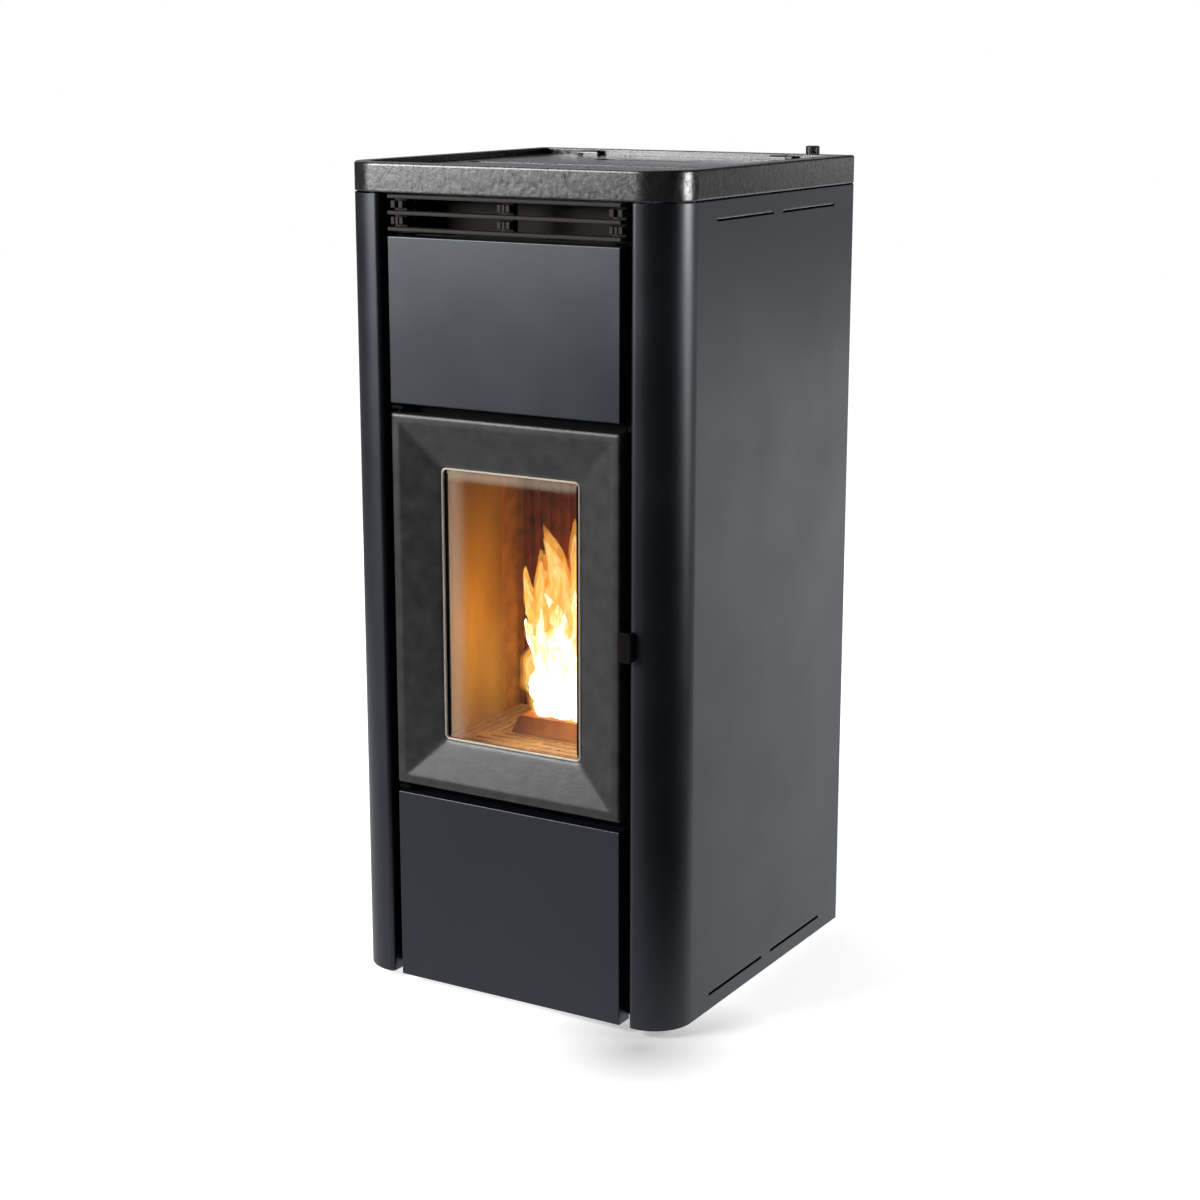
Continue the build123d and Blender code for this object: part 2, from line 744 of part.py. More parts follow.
# --- Door ----------------------------------------------------------------------------------
def rounded_ring(half_x, z0, z1, y0, y1, corner):
    """A rounded rectangular block that stands across the door."""
    plane = face_plane(y1, (z0 + z1) / 2)
    return extrude(plane * RectangleRounded(2 * half_x, z1 - z0, corner), y1 - y0)


def door_frame():
    """Cast door: flat rim, bevel sinking to the glass, and the pockets in its back."""
    frame = block((-insert_x, insert_x), (front_y, door_back), (door_z0, door_z1))
    frame = fillet(frame.faces().sort_by(Axis.Y)[0].edges(), door_edge_r)
    left = frame.edges().filter_by(Axis.Z).sort_by(Axis.X)[:2].sort_by(Axis.Y)[-1]
    frame = chamfer(left, 3.0)
    middle = (opening_z0 + opening_z1) / 2
    outer_z = (door_z0 + door_z1) / 2
    wide = face_plane(front_y, outer_z) * RectangleRounded(
        insert_w - 2 * door_rim, door_h - 2 * door_rim, door_edge_r
    )
    narrow = face_plane(front_y + bevel_d, middle) * RectangleRounded(
        2 * opening_x, opening_z1 - opening_z0, opening_r
    )
    frame -= loft([wide, narrow])
    frame -= rounded_ring(opening_x, opening_z0, opening_z1, front_y, door_back + 1, opening_r)
    seat_z = (glass_z0 - clear, glass_z1 + clear)
    frame -= rounded_ring(glass_x + clear, seat_z[0], seat_z[1], lip_back, door_back + 1, opening_r)
    hollow_in = glass_x + 10
    hollow_out = insert_x - rope_inset - rope_r - 5
    pocket = rounded_ring(hollow_out, glass_z0 - 18, glass_z1 + 18, door_back - 9, door_back + 1, 6)
    pocket -= rounded_ring(hollow_in, glass_z0 - 10, glass_z1 + 10, door_back - 10, door_back + 2, 6)
    frame -= pocket
    frame -= rope_solid(rope_r + 0.1)
    for z in ((door_z0 - 1, door_z0 + hinge_pin_l + 1), (door_z1 - hinge_pin_l - 1, door_z1 + 1)):
        frame -= rod_z(door_axis_x, door_axis_y, z, hinge_pin_r + fit)
    ear_x1 = column_x - 1.0
    ear = block((insert_x - 1, ear_x1), (front_y + 5, door_back - 1.5), (latch_z - 12, latch_z + 12))
    frame += fillet(ear.edges().filter_by(Axis.X).sort_by(Axis.Y)[:2], 2.0)
    frame -= rod_y(latch_axis_x, (front_y, door_back), latch_z, spindle_r + fit)
    return frame


def rope_solid(radius):
    """A ring of round section along the seal's line on the door's back."""
    x = insert_x - rope_inset
    z0 = door_z0 + rope_inset_end
    z1 = door_z1 - rope_inset_end
    line = FilletPolyline(
        (-x, door_back, z0), (x, door_back, z0), (x, door_back, z1), (-x, door_back, z1),
        radius=rope_corner_r, close=True,
    )
    return sweep(Plane(origin=line @ 0, z_dir=line % 0) * Circle(radius), path=line)


def door_glass():
    """Ceramic glass pane behind the lip of the opening."""
    return rounded_ring(glass_x, glass_z0, glass_z1, glass_y0, glass_y1, opening_r)


def glass_gasket():
    """Flat woven gasket between the lip and the pane."""
    ring = rounded_ring(glass_x, glass_z0, glass_z1, lip_back, glass_y0, opening_r)
    cut_y = (lip_back - 1, glass_y0 + 1)
    return ring - rounded_ring(opening_x + 2, opening_z0 - 2, opening_z1 + 2, cut_y[0], cut_y[1], opening_r)


def clip_places():
    """Centres of the glass clips and the side that each one reaches in from."""
    places = []
    for z in (glass_z0 + 50, glass_z1 - 50):
        for side in (-1, 1):
            places.append((side, z))
    return places


def glass_clips():
    """Sheet clips that hold the pane from behind, each with its screw."""
    pieces = []
    for side, z in clip_places():
        span = (side * (glass_x - 6), side * (glass_x + 9))
        x = side * (glass_x + 5)
        clip = block(span, (door_back, door_back + 1.5), (z - 12, z + 12))
        clip -= rod_y(x, (door_back - 1, door_back + 2), z, 1.5)
        screw = rod_y(x, (door_back + 1.5, door_back + 3.0), z, 3.5)
        screw += rod_y(x, (door_back, door_back + 2.0), z, 1.5)
        pieces += [clip, screw]
    return group(pieces)


def door_hinges():
    """Tabs in the gaps under and over the door, each with the fixed pin that the door turns on."""
    x0 = door_axis_x - 9
    x1 = door_axis_x + 8
    low_z1 = door_z0 - 5.0
    high_z0 = door_z1 + 5.0
    low = block((x0, x1), (door_axis_y - 7, web_y), (low_z1 - hinge_tab_t, low_z1))
    high = block((x0, x1), (door_axis_y - 7, web_y), (high_z0, high_z0 + hinge_tab_t))
    low -= rod_z(door_axis_x, door_axis_y, (low_z1 - hinge_tab_t - 1, low_z1 + 1), hinge_pin_r)
    high -= rod_z(door_axis_x, door_axis_y, (high_z0 - 1, high_z0 + hinge_tab_t + 1), hinge_pin_r)
    low_pin = rod_z(door_axis_x, door_axis_y, (low_z1 - hinge_tab_t, door_z0 + hinge_pin_l), hinge_pin_r)
    high_pin = rod_z(door_axis_x, door_axis_y, (door_z1 - hinge_pin_l, high_z0 + hinge_tab_t), hinge_pin_r)
    return group([low, high, low_pin, high_pin])


def latch_handle():
    """Knob in front of the right-hand gap and its spindle through the door's ear."""
    x0 = latch_axis_x - knob_side
    x1 = x0 + knob_w
    knob = block((x0, x1), (knob_y0, knob_y1), (latch_z - knob_h / 2, latch_z + knob_h / 2))
    front = knob.faces().sort_by(Axis.Y)[0]
    side_edges = front.edges().filter_by(Axis.Z).sort_by(Axis.X)
    knob = chamfer(side_edges[0], 4.5, 5.5)
    knob = fillet(knob.edges().filter_by(Axis.Y), 3.0)
    return knob + rod_y(latch_axis_x, (knob_y1 - 1, web_y + 8), latch_z, spindle_r)


def latch_cam():
    """Cam on the inner end of the spindle."""
    y0 = web_y + 8.0
    y1 = y0 + cam_t
    arm = block((latch_axis_x - cam_l, latch_axis_x), (y0, y1), (latch_z - cam_w / 2, latch_z + cam_w / 2))
    return arm + rod_y(latch_axis_x, (y0, y1), latch_z, cam_w / 2)


def latch_strike():
    """Keeper plate behind the front plate, open where the cam passes."""
    x1 = fire_front_x
    y0 = fire_front
    y1 = y0 + 2.0
    plate = block((x1 - 20, x1), (y0, y1), (latch_z - 30, latch_z + 30))
    return plate - block((x1 - 12, x1 + 1), (y0 - 1, y1 + 1), (latch_z - cam_w, latch_z + cam_w))


# --- Firebox -------------------------------------------------------------------------------
def tube_places():
    """Axes of the exchanger tubes."""
    first = -(tube_columns - 1) / 2 * tube_pitch_x
    places = []
    for row in range(tube_rows):
        for column in range(tube_columns):
            places.append((first + column * tube_pitch_x, tube_z + row * tube_pitch_z))
    return places


def cheek_plates(side):
    """One side of the firebox: lower cheek with its vents, chamber cheek, and the grate's ledge."""
    span = (side * (fire_x - fire_t), side * fire_x)
    cut = (side * (fire_x - 2 * fire_t), side * (fire_x + fire_t))
    lower = block(span, (fire_front, fire_back), (base_z1, chamber_z))
    vent_z = base_z1 + vent_rise
    for y in (fire_front + 40, fire_front + 110):
        lower -= block(cut, (y, y + vent_l), (vent_z, vent_z + vent_h))
    upper = block(span, (chamber_front, fire_back), (chamber_z, chamber_top))
    if side > 0:
        upper -= block(cut, duct_window_y, duct_window_z)
    ledge_y = (lining_back + clear, grate_back)
    ledge = block((side * ledge_x, span[0]), ledge_y, (grate_z - ledge_t, grate_z))
    return [lower, upper, ledge]


def firebox():
    """Firebox plates, welded edge to edge: cheeks down to the base, floor, rear wall, gas chamber."""
    back0 = fire_back - fire_t
    x = (-fire_x + fire_t, fire_x - fire_t)
    roof_z = (chamber_top - fire_t, chamber_top)
    floor_plate = block(x, (fire_front, back0), (fire_floor, fire_floor + fire_t))
    intake_cut = (fire_floor - 1, fire_floor + fire_t + 1)
    floor_plate -= rod_z(intake_x, fire_intake_y(), intake_cut, intake_r - intake_t)
    rear_wall = block(x, (back0, fire_back), (fire_floor, chamber_z))
    rear_wall -= block((-chute_x, chute_x), (back0 - 1, fire_back + 1), chute_mouth())
    rear_wall -= rod_y(0, (back0 - 1, fire_back + 1), igniter_z(), 8)
    rear_tube_plate = block(x, (back0, fire_back), (chamber_z, roof_z[0]))
    front_tube_plate = block(x, (chamber_front, chamber_front + fire_t), (chamber_z, roof_z[0]))
    for tx, tz in tube_places():
        rear_tube_plate -= rod_y(tx, (back0 - 1, fire_back + 1), tz, tube_r)
        front_tube_plate -= rod_y(tx, (chamber_front - 1, chamber_front + fire_t + 1), tz, tube_r)
    roof = block(x, (chamber_front, fire_back), roof_z)
    shelf = block(x, (fire_front, chamber_front + fire_t), (chamber_z - fire_t, chamber_z))
    plates = [floor_plate, rear_wall, rear_tube_plate, front_tube_plate, roof, shelf]
    return group(cheek_plates(-1) + cheek_plates(1) + plates)


def firebox_front_plate():
    """Flat front of the firebox that the door's rope seal presses on."""
    z = (lower_z1 - insert_gap, upper_z0 + insert_gap)
    plate = block((-fire_front_x, fire_front_x), (plate_y, fire_front), z)
    plate -= rounded_ring(mouth_x, mouth_z0, mouth_z1, plate_y - 1, fire_front + 1, 10)
    notch_z = (latch_z - cam_w, latch_z + cam_w)
    plate -= block((fire_front_x - 12, fire_front_x + 1), (plate_y - 1, fire_front + 1), notch_z)
    return plate


def side_linings():
    """Refractory slabs against the cheeks, on the grate's ledges."""
    x1 = fire_x - fire_t
    slab = block((lining_x, x1), (fire_front + 1, lining_back), (fire_floor + fire_t, baffle_z))
    slab += block((ledge_x, lining_x + 1), (fire_front + 1, lining_back), (grate_z - ledge_t, grate_z))
    return group(pair_x(slab))


def rear_lining():
    """Cast rear lining with upright ribs on the fire side."""
    y1 = fire_back - fire_t
    y0 = y1 - rear_lining_t
    x = fire_x - fire_t - 14
    z = (fire_floor + fire_t, baffle_z)
    plate = block((-x, x), (y0 + 5, y1), z)
    count = int(2 * x / rib_pitch)
    for index in range(count):
        rib_x = -x + (index + 0.5) * 2 * x / count
        plate += block((rib_x - 4, rib_x + 4), (y0, y0 + 6), z)
    plate -= block((-chute_x, chute_x), (y0 - 1, y1 + 1), chute_mouth())
    plate -= rod_y(0, (y0 - 1, y1 + 1), igniter_z(), 8)
    return plate


def baffle_plate():
    """Vermiculite baffle that lies on the linings and turns the flames."""
    x = fire_x - fire_t - 1
    return block((-x, x), (fire_front + 45, fire_back - fire_t - 1), (baffle_z, baffle_z + baffle_t))


def exchanger_tubes():
    """Room air tubes through the gas chamber."""
    tubes = []
    for tx, tz in tube_places():
        span = (chamber_front, riser_front)
        bore = rod_y(tx, (span[0] - 1, span[1] + 1), tz, tube_r - tube_t)
        tubes.append(rod_y(tx, span, tz, tube_r) - bore)
    return group(tubes)


def grate_slots():
    """Slots of the grate: nested rectangles round the burn pot, broken by short bridges."""
    slots = []
    z = (grate_z - 1, grate_z + grate_t + 1)
    width = 5.0
    for index in range(4):
        x = pot_x + pot_flare + 9 + index * 13
        y = pot_front - pot_flare - 9 - index * 15
        gaps = 3 - (index % 2)
        for part in range(gaps):
            span = 2 * x / gaps
            start = -x + part * span
            slots.append(block((start + 4, start + span - 4), (y - width, y), z))
        length = pot_back - y
        for side in (-1, 1):
            slot_x = (side * (x + 3), side * (x + 3 + width))
            for part in range(2):
                y0 = y + part * length / 2
                slots.append(block(slot_x, (y0 + 5, y0 + length / 2 - 5), z))
    return slots


def floor_grate():
    """Slotted cast floor of the fire, with the hole that the burn pot hangs in."""
    x = lining_x - 1.0
    plate = block((-x, x), (fire_front + 3, grate_back), (grate_z, grate_z + grate_t))
    hole_z = (grate_z - 1, grate_z + grate_t + 1)
    plate -= block((-pot_x - 1, pot_x + 1), (pot_front - 1, pot_back + 1), hole_z)
    for slot in grate_slots():
        plate -= slot
    return plate


def burn_pot():
    """Cast burn pot: flared collar over the grate, perforated well below it."""
    collar_z0 = grate_z + grate_t + 0.4
    y_mid = (pot_front + pot_back) / 2
    length = pot_back - pot_front
    foot_outline = Rectangle(2 * (pot_x + pot_flare), length + 2 * pot_flare)
    low = Plane.XY.offset(collar_z0) * Pos(0, y_mid) * foot_outline
    high = Plane.XY.offset(pot_top) * Pos(0, y_mid) * Rectangle(2 * pot_x, length)
    pot = loft([low, high])
    pot += block((-pot_x, pot_x), (pot_front, pot_back), (pot_z, collar_z0 + 1))
    well_z = (pot_z + pot_t, pot_top + 1)
    pot -= block((-pot_x + pot_t, pot_x - pot_t), (pot_front + pot_t, pot_back - pot_t), well_z)
    for row in range(3):
        for column in range(7):
            x = (column - 3) * 13
            y = y_mid + (row - 1) * 26
            pot -= rod_z(x, y, (pot_z - 1, pot_z + pot_t + 1), 2.5)
    pot -= rod_y(0, (pot_back - pot_t - 1, pot_back + pot_flare + 1), igniter_z(), 6.5)
    return pot


def ash_pan():
    """Sheet ash pan on the firebox floor, under the grate."""
    z = (fire_floor + fire_t, grate_z - clear - 3)
    pan = block((-pan_x, pan_x), (pan_front, pan_back), z)
    inside_z = (z[0] + pan_t, z[1] + 1)
    pan -= block((-pan_x + pan_t, pan_x - pan_t), (pan_front + pan_t, pan_back - pan_t), inside_z)
    pan -= rod_z(intake_x, fire_intake_y(), (z[0] - 1, z[0] + pan_t + 1), intake_r + 1)
    riser = rod_z(intake_x, fire_intake_y(), (z[0], z[0] + 18), intake_r + 3)
    riser -= rod_z(intake_x, fire_intake_y(), (z[0] - 1, z[0] + 19), intake_r + 1)
    return pan + riser


def igniter_z():
    """Height of the igniter's axis, in the wall of the burn pot."""
    return grate_z + grate_t + 9.5


def igniter():
    """Ceramic igniter rod in its steel sleeve through the rear wall."""
    z = igniter_z()
    sleeve = rod_y(0, (lining_front, riser_front + 16), z, 7)
    sleeve += rod_y(0, (riser_front + 12, riser_front + 16), z, 11)
    sleeve -= rod_y(0, (lining_front - 1, riser_front + 17), z, 5 + clear)
    rod = rod_y(0, (lining_front, riser_front + 30), z, 5)
    return group([sleeve, rod])


# --- Pellet feed ---------------------------------------------------------------------------
feed_frame = Pos(0, feed_y, feed_z) * Rot(feed_tilt, 0, 0)


def chute_mouth():
    """Heights of the chute's mouth in the firebox's rear wall."""
    reach = feed_up - chute_h / 2 - 6
    slope = math.radians(feed_tilt)
    axis_y = feed_y - reach * math.sin(slope)
    axis_z = feed_z + reach * math.cos(slope)
    middle = axis_z - (axis_y - fire_back) * math.tan(slope)
    half = chute_h / 2 / math.cos(slope) - feed_t
    return (middle - half, middle + half)


def hopper():
    """Pellet hopper: wide mouth, straight bin and a funnel down to the auger's throat."""
    def bin_solid(inset, extra):
        x = (-hopper_x + inset, hopper_x - inset)
        back = hopper_back - inset
        upper = block(x, (hopper_front + inset, back), (hopper_step + inset, hopper_top + extra))
        lower = block(x, (hopper_throat_front + inset, back), (hopper_cone, hopper_step + inset + 1))
        y_wide = (hopper_throat_front + hopper_back) / 2
        wide = Plane.XY.offset(hopper_cone) * Pos(0, y_wide) * Rectangle(
            2 * (hopper_x - inset), hopper_back - hopper_throat_front - 2 * inset
        )
        tight = Plane.XY.offset(throat_z - extra) * Pos(0, feed_y) * Rectangle(
            2 * (throat_x - inset), throat_l - 2 * inset
        )
        return upper + lower + loft([wide, tight])

    shape = bin_solid(0, 0) - bin_solid(hopper_t, 2)
    lug_z0 = side_z1 - 1.0 - web_t
    for side in (-1, 1):
        lug_x = (side * (hopper_x - 0.5), side * (post_x - 4))
        shape += block(lug_x, (hopper_back - 25 - hopper_lug_l, hopper_back - 25), (lug_z0, lug_z0 + web_t))
    return shape


def hopper_guard():
    """Wire guard across the hopper, so that no hand reaches the auger."""
    z = hopper_step + 25
    y0 = hopper_front + hopper_t
    y1 = hopper_back - hopper_t
    x = hopper_x - hopper_t
    pieces = [block((-x, x), (y0, y0 + 3), (z - 2, z + 2)), block((-x, x), (y1 - 3, y1), (z - 2, z + 2))]
    count = 11
    for index in range(count):
        wire_x = -x + (index + 0.5) * 2 * x / count
        pieces.append(block((wire_x - 1.5, wire_x + 1.5), (y0, y1), (z - 2, z + 2)))
    return joined(pieces)


def auger_tube():
    """Inclined auger tube with its throat under the hopper and the drop chute to the fire."""
    inner_r = feed_r - feed_t
    length = feed_up + feed_down
    tube = Pos(0, 0, (feed_up - feed_down) / 2) * Cylinder(feed_r, length)
    chute_mid = feed_up - chute_h / 2 - 6
    chute = block((-chute_x, chute_x), (-150, 0), (chute_mid - chute_h / 2, chute_mid + chute_h / 2))
    bore_z = (chute_mid - chute_h / 2 + feed_t, chute_mid + chute_h / 2 - feed_t)
    chute_bore = block((-chute_x + feed_t, chute_x - feed_t), (-160, 0), bore_z)
    throat_y = (feed_y - throat_l / 2, feed_y + throat_l / 2)
    throat = block((-throat_x, throat_x), throat_y, (feed_z, throat_z))
    throat_bore_y = (throat_y[0] + feed_t, throat_y[1] - feed_t)
    throat_bore = block((-throat_x + feed_t, throat_x - feed_t), throat_bore_y, (feed_z, throat_z + 1))
    outside = feed_frame * (tube + chute) + throat
    bore = Pos(0, 0, (feed_up - feed_down) / 2) * Cylinder(inner_r, length - 2 * feed_t)
    shape = outside - feed_frame * (bore + chute_bore) - throat_bore
    shape -= feed_frame * Cylinder(auger_shaft_r + fit, 4 * length)
    keep = block((-side_x, side_x), (fire_back, rear_y + feed_inset), (0, side_z1))
    return shape & keep


def auger_screw():
    """Screw conveyor: shaft with one helical flight."""
    z0 = -feed_down + 8
    height = feed_up + feed_down - 16
    mid_r = (auger_shaft_r + auger_r) / 2 - 0.5
    line = Helix(auger_pitch, height, mid_r)
    section = Plane(origin=line @ 0, x_dir=(1, 0, 0), z_dir=line % 0) * Rectangle(
        2 * (auger_r - mid_r), auger_flight_t
    )
    flight = Pos(0, 0, z0) * sweep(section, path=line, is_frenet=True)
    shaft = Pos(0, 0, (feed_up - feed_down) / 2) * Cylinder(auger_shaft_r, feed_up + feed_down + 8)
    return feed_frame * (flight + shaft)


def auger_gearmotor():
    """Gearbox and shaded-pole motor under the tube's lower end."""
    z1 = -feed_down - 0.3
    z0 = z1 - gearbox_h
    box = block((-gearbox_x, gearbox_x), (-gearbox_y, gearbox_y), (z0, z1))
    box = fillet(box.edges().filter_by(Axis.Z), 4)
    box -= Pos(0, 0, z1) * Cylinder(auger_shaft_r + 0.5, 12)
    stack_y = (-gearbox_y + 2, gearbox_y / 2)
    stack = block((-gearbox_x + 2, gearbox_x - 2), stack_y, (z0 - stack_h, z0))
    coil_x = (-gearbox_x / 2, gearbox_x / 2)
    coil = block(coil_x, (stack_y[0] - 12, stack_y[0]), (z0 - stack_h + 2, z0 - 2))
    return feed_frame * joined([box, stack, coil])


# --- Air -----------------------------------------------------------------------------------
def riser_wall(y0, y1):
    """Front or rear sheet of the riser: two legs and the stretches under and over the window."""
    w, x = riser_window_x, riser_x
    return [
        block((-x, -w), (y0, y1), (riser_z, chamber_top)),
        block((w, x), (y0, y1), (riser_z, chamber_top)),
        block((-w, w), (y0, y1), (riser_z, riser_window_z0)),
        block((-w, w), (y0, y1), (riser_window_z1, chamber_top)),
    ]


def air_riser():
    """Flat sheet duct up the back of the firebox, split round the pellet chute, to the tubes."""
    t = riser_t
    w, x = riser_window_x, riser_x
    depth = (riser_front + t, riser_back - t)
    sheets = riser_wall(riser_back - t, riser_back)
    for sheet_wall in riser_wall(riser_front, riser_front + t):
        for tx, tz in tube_places():
            sheet_wall -= rod_y(tx, (riser_front - 1, riser_front + t + 1), tz, tube_r - tube_t)
        sheets.append(sheet_wall)
    for side in (-1, 1):
        sheets.append(block((side * (x - t), side * x), depth, (riser_z, chamber_top - t)))
        sheets.append(block((side * w, side * (w + t)), depth, (riser_window_z0 - t, riser_window_z1 + t)))
    sheets.append(block((-w, w), depth, (riser_window_z0 - t, riser_window_z0)))
    sheets.append(block((-w, w), depth, (riser_window_z1, riser_window_z1 + t)))
    sheets.append(block((-x, x), depth, (chamber_top - t, chamber_top)))
    return group(sheets)


def blower_housing():
    """Casing of the cross-flow blower, open in front and up into the riser."""
    r = blower_casing_r
    x = (-blower_x, blower_x)
    body = rod_x(x, blower_y, blower_z, r)
    body += block(x, (riser_front + 2, blower_y), (blower_z, riser_z))
    body += block(x, (blower_y - r, blower_y + r), (base_z1, blower_z - 10))
    t = 1.5
    inner_x_span = (-blower_x + t, blower_x - t)
    hollow = rod_x(inner_x_span, blower_y, blower_z, r - t)
    hollow += block(inner_x_span, (riser_front + 2 + t, blower_y - t), (blower_z, riser_z + 1))
    hollow += block(inner_x_span, (blower_y - r - 1, blower_y), (blower_z - r + 12, blower_z - 6))
    shaft = rod_x((-blower_x - 2, blower_x + 2), blower_y, blower_z, 4 + fit)
    return body - hollow - shaft


def blower_rotor():
    """Cross-flow rotor: shaft, end discs and curved blades."""
    x1 = blower_x - 6
    r = blower_rotor_r
    pieces = [rod_x((-blower_x - 22, blower_x + 6), blower_y, blower_z, 4)]
    for x in (-x1, 0, x1 - 2):
        pieces.append(rod_x((x, x + 2), blower_y, blower_z, r))
    for index in range(blade_count):
        angle = index * 360 / blade_count
        blade = Rot(angle, 0, 0) * Pos(0, r - 6, 0) * Rot(35, 0, 0) * Box(2 * x1, 8, 1.2)
        pieces.append(Pos(0, blower_y, blower_z) * blade)
    return joined(pieces)


def blower_motor():
    """Motor on the end of the blower casing."""
    body = rod_x((-blower_x - blower_motor_l, -blower_x), blower_y, blower_z, blower_motor_r)
    body = fillet(body.edges().sort_by(Axis.X)[0], 4)
    return body - rod_x((-blower_x - 24, -blower_x + 1), blower_y, blower_z, 5)


def smoke_fan_housing():
    """Volute of the smoke fan with its inlet ring, outlet and round flue spigot."""
    x = (fan_x - fan_w / 2, fan_x + fan_w / 2)
    t = fan_t
    y_end = rear_panel_y0 - flue_plate_gap
    z = (fan_z - fan_r, fan_z - fan_r + volute_h)
    outside = rod_x(x, fan_y, fan_z, fan_r) + block(x, (fan_y, y_end), z)
    outside += rod_x((x[1] - 1, duct_x0), fan_y, fan_z, fan_inlet_r)
    plate_z = (volute_z - flue_plate_x, volute_z + flue_plate_x)
    outside += block((fan_x - flue_plate_x, fan_x + flue_plate_x), (y_end - t, y_end), plate_z)
    outside += rod_y(fan_x, (y_end - 1, spigot_end), volute_z, flue_r)
    hollow = rod_x((x[0] + t, x[1] - t), fan_y, fan_z, fan_r - t)
    hollow += block((x[0] + t, x[1] - t), (fan_y, y_end - t), (z[0] + t, z[1] - t))
    hollow += rod_x((x[1] - t - 1, duct_x0 + 1), fan_y, fan_z, fan_inlet_r - t)
    hollow += rod_y(fan_x, (y_end + 1, spigot_end + 1), volute_z, flue_r - flue_t)
    hollow += rod_y(fan_x, (y_end - t - 1, y_end + 2), volute_z, fan_w / 2 - t)
    return outside - hollow - rod_x((x[0] - 1, x[0] + t + 1), fan_y, fan_z, 4 + fit)


def smoke_fan_impeller():
    """Back plate, hub and blades of the smoke fan on the motor's shaft."""
    x0 = fan_x - fan_w / 2 + fan_t + 3
    r = fan_r - 14
    pieces = [rod_x((x0, x0 + 2), fan_y, fan_z, r), rod_x((x0, x0 + 24), fan_y, fan_z, 12)]
    pieces.append(rod_x((fan_x - fan_w / 2 - 24, x0 + 1), fan_y, fan_z, 4))
    for index in range(fan_blades):
        blade = Rot(index * 360 / fan_blades, 0, 0) * Pos(12, r / 2 + 2, 0) * Box(24, r - 6, 2)
        pieces.append(Pos(x0, fan_y, fan_z) * blade)
    return joined(pieces)


def smoke_fan_motor():
    """Motor of the smoke fan on its three stand-offs."""
    x1 = fan_motor_x
    body = rod_x((x1 - fan_motor_l, x1), fan_y, fan_z, fan_motor_r)
    body = fillet(body.edges().sort_by(Axis.X)[0], 5)
    for index in range(3):
        angle = math.radians(90 + 120 * index)
        y = fan_y + (fan_motor_r - 8) * math.cos(angle)
        z = fan_z + (fan_motor_r - 8) * math.sin(angle)
        body += rod_x((x1 - 1, fan_x - fan_w / 2), y, z, 4)
    return body - rod_x((x1 - 20, x1 + 1), fan_y, fan_z, 5)


def smoke_duct():
    """Flue gas duct down the right-hand cheek, from the gas chamber to the smoke fan."""
    t = 1.5
    top = chamber_top - 2 * duct_window_edge
    low = (fan_z - duct_h / 2, fan_z + duct_h / 2)
    end = fan_y + duct_h / 2
    outer = block((duct_x0, duct_x1), (duct_y0, duct_y1), (low[0], top))
    outer += block((duct_x0, duct_x1), (duct_y0, end), low)
    inner = block((duct_x0 + t, duct_x1 - t), (duct_y0 + t, duct_y1 - t), (low[0] + t, top - t))
    inner += block((duct_x0 + t, duct_x1 - t), (duct_y0 + t, end - t), (low[0] + t, low[1] - t))
    duct = outer - inner
    duct += block((fire_x, duct_x0 + 0.5), (duct_y0, duct_y1), (chamber_z + 2 * duct_window_edge, top))
    duct -= block((fire_x - 1, duct_x0 + t + 1), duct_window_y, duct_window_z)
    return duct - rod_x((duct_x0 - 1, duct_x0 + t + 1), fan_y, fan_z, fan_inlet_r - fan_t)


def fire_intake_y():
    """Where the combustion air enters the firebox floor."""
    return (pan_front + pan_back) / 2 + 30


def air_intake_pipe():
    """Combustion air pipe from the back to the firebox floor."""
    y = fire_intake_y()
    outside = rod_y(intake_x, (y - intake_r, spigot_end), intake_z, intake_r)
    outside += rod_z(intake_x, y, (intake_z, fire_floor), intake_r)
    ring_y = rear_panel_y0 - intake_ring_gap
    outside += rod_y(intake_x, (ring_y - 2 * intake_t, ring_y), intake_z, intake_r + intake_ring)
    r = intake_r - intake_t
    inside = rod_y(intake_x, (y - r, spigot_end + 1), intake_z, r)
    inside += rod_z(intake_x, y, (intake_z, fire_floor + 1), r)
    return outside - inside


# --- Services ------------------------------------------------------------------------------
def control_board():
    """Control board on its carrier beside the base, with relays and terminal strip."""
    x1 = -(inner_x - base_t - 2)
    y1 = rear_y - board_rear_gap
    y0 = y1 - board_l
    z1 = base_z1 + board_h
    carrier = block((x1, x1 + sheet), (y0, y1), (base_z1, z1))
    carrier += block((x1, x1 + 2 * relay_d), (y0, y1), (base_z1, base_z1 + sheet))
    for y in (y0 + 10, y1 - 10):
        for z in (base_z1 + 20, z1 - 10):
            carrier += rod_x((x1 + sheet, x1 + board_off), y, z, 3)
    face_x = x1 + board_off + 1.6
    board = block((x1 + board_off, face_x), (y0 + 5, y1 - 5), (base_z1 + 12, z1 - 4))
    relay_z = (base_z1 + 30, base_z1 + 30 + relay_h)
    for index in range(4):
        y = y0 + 20 + index * relay_pitch
        board += block((face_x, face_x + relay_d), (y, y + relay_l), relay_z)
    board += block((face_x, face_x + 10), (y0 + 12, y1 - 30), (z1 - 30, z1 - 12))
    board += block((face_x, face_x + 20), (y1 - 42, y1 - 12), (base_z1 + 30, base_z1 + 70))
    return group([board, carrier])


def safety_thermostat():
    """Safety thermostat under the rear rim, its bush up through the casting."""
    y = rear_y - rim_w / 2
    body_y = (rear_y - rim_w - 3, rear_y - cover_wall - 0.5)
    body = block((cap_x - 15, cap_x + 15), body_y, (cover_z1 - 38, deck_z0 - 0.5))
    bush = rod_z(cap_x, y, (deck_z0 - 2, cover_z1 + 5), 5.0)
    bore = rod_z(cap_x, y, (cover_z1 - 30, cover_z1 + 6), 2.2 + fit)
    return body + bush - bore


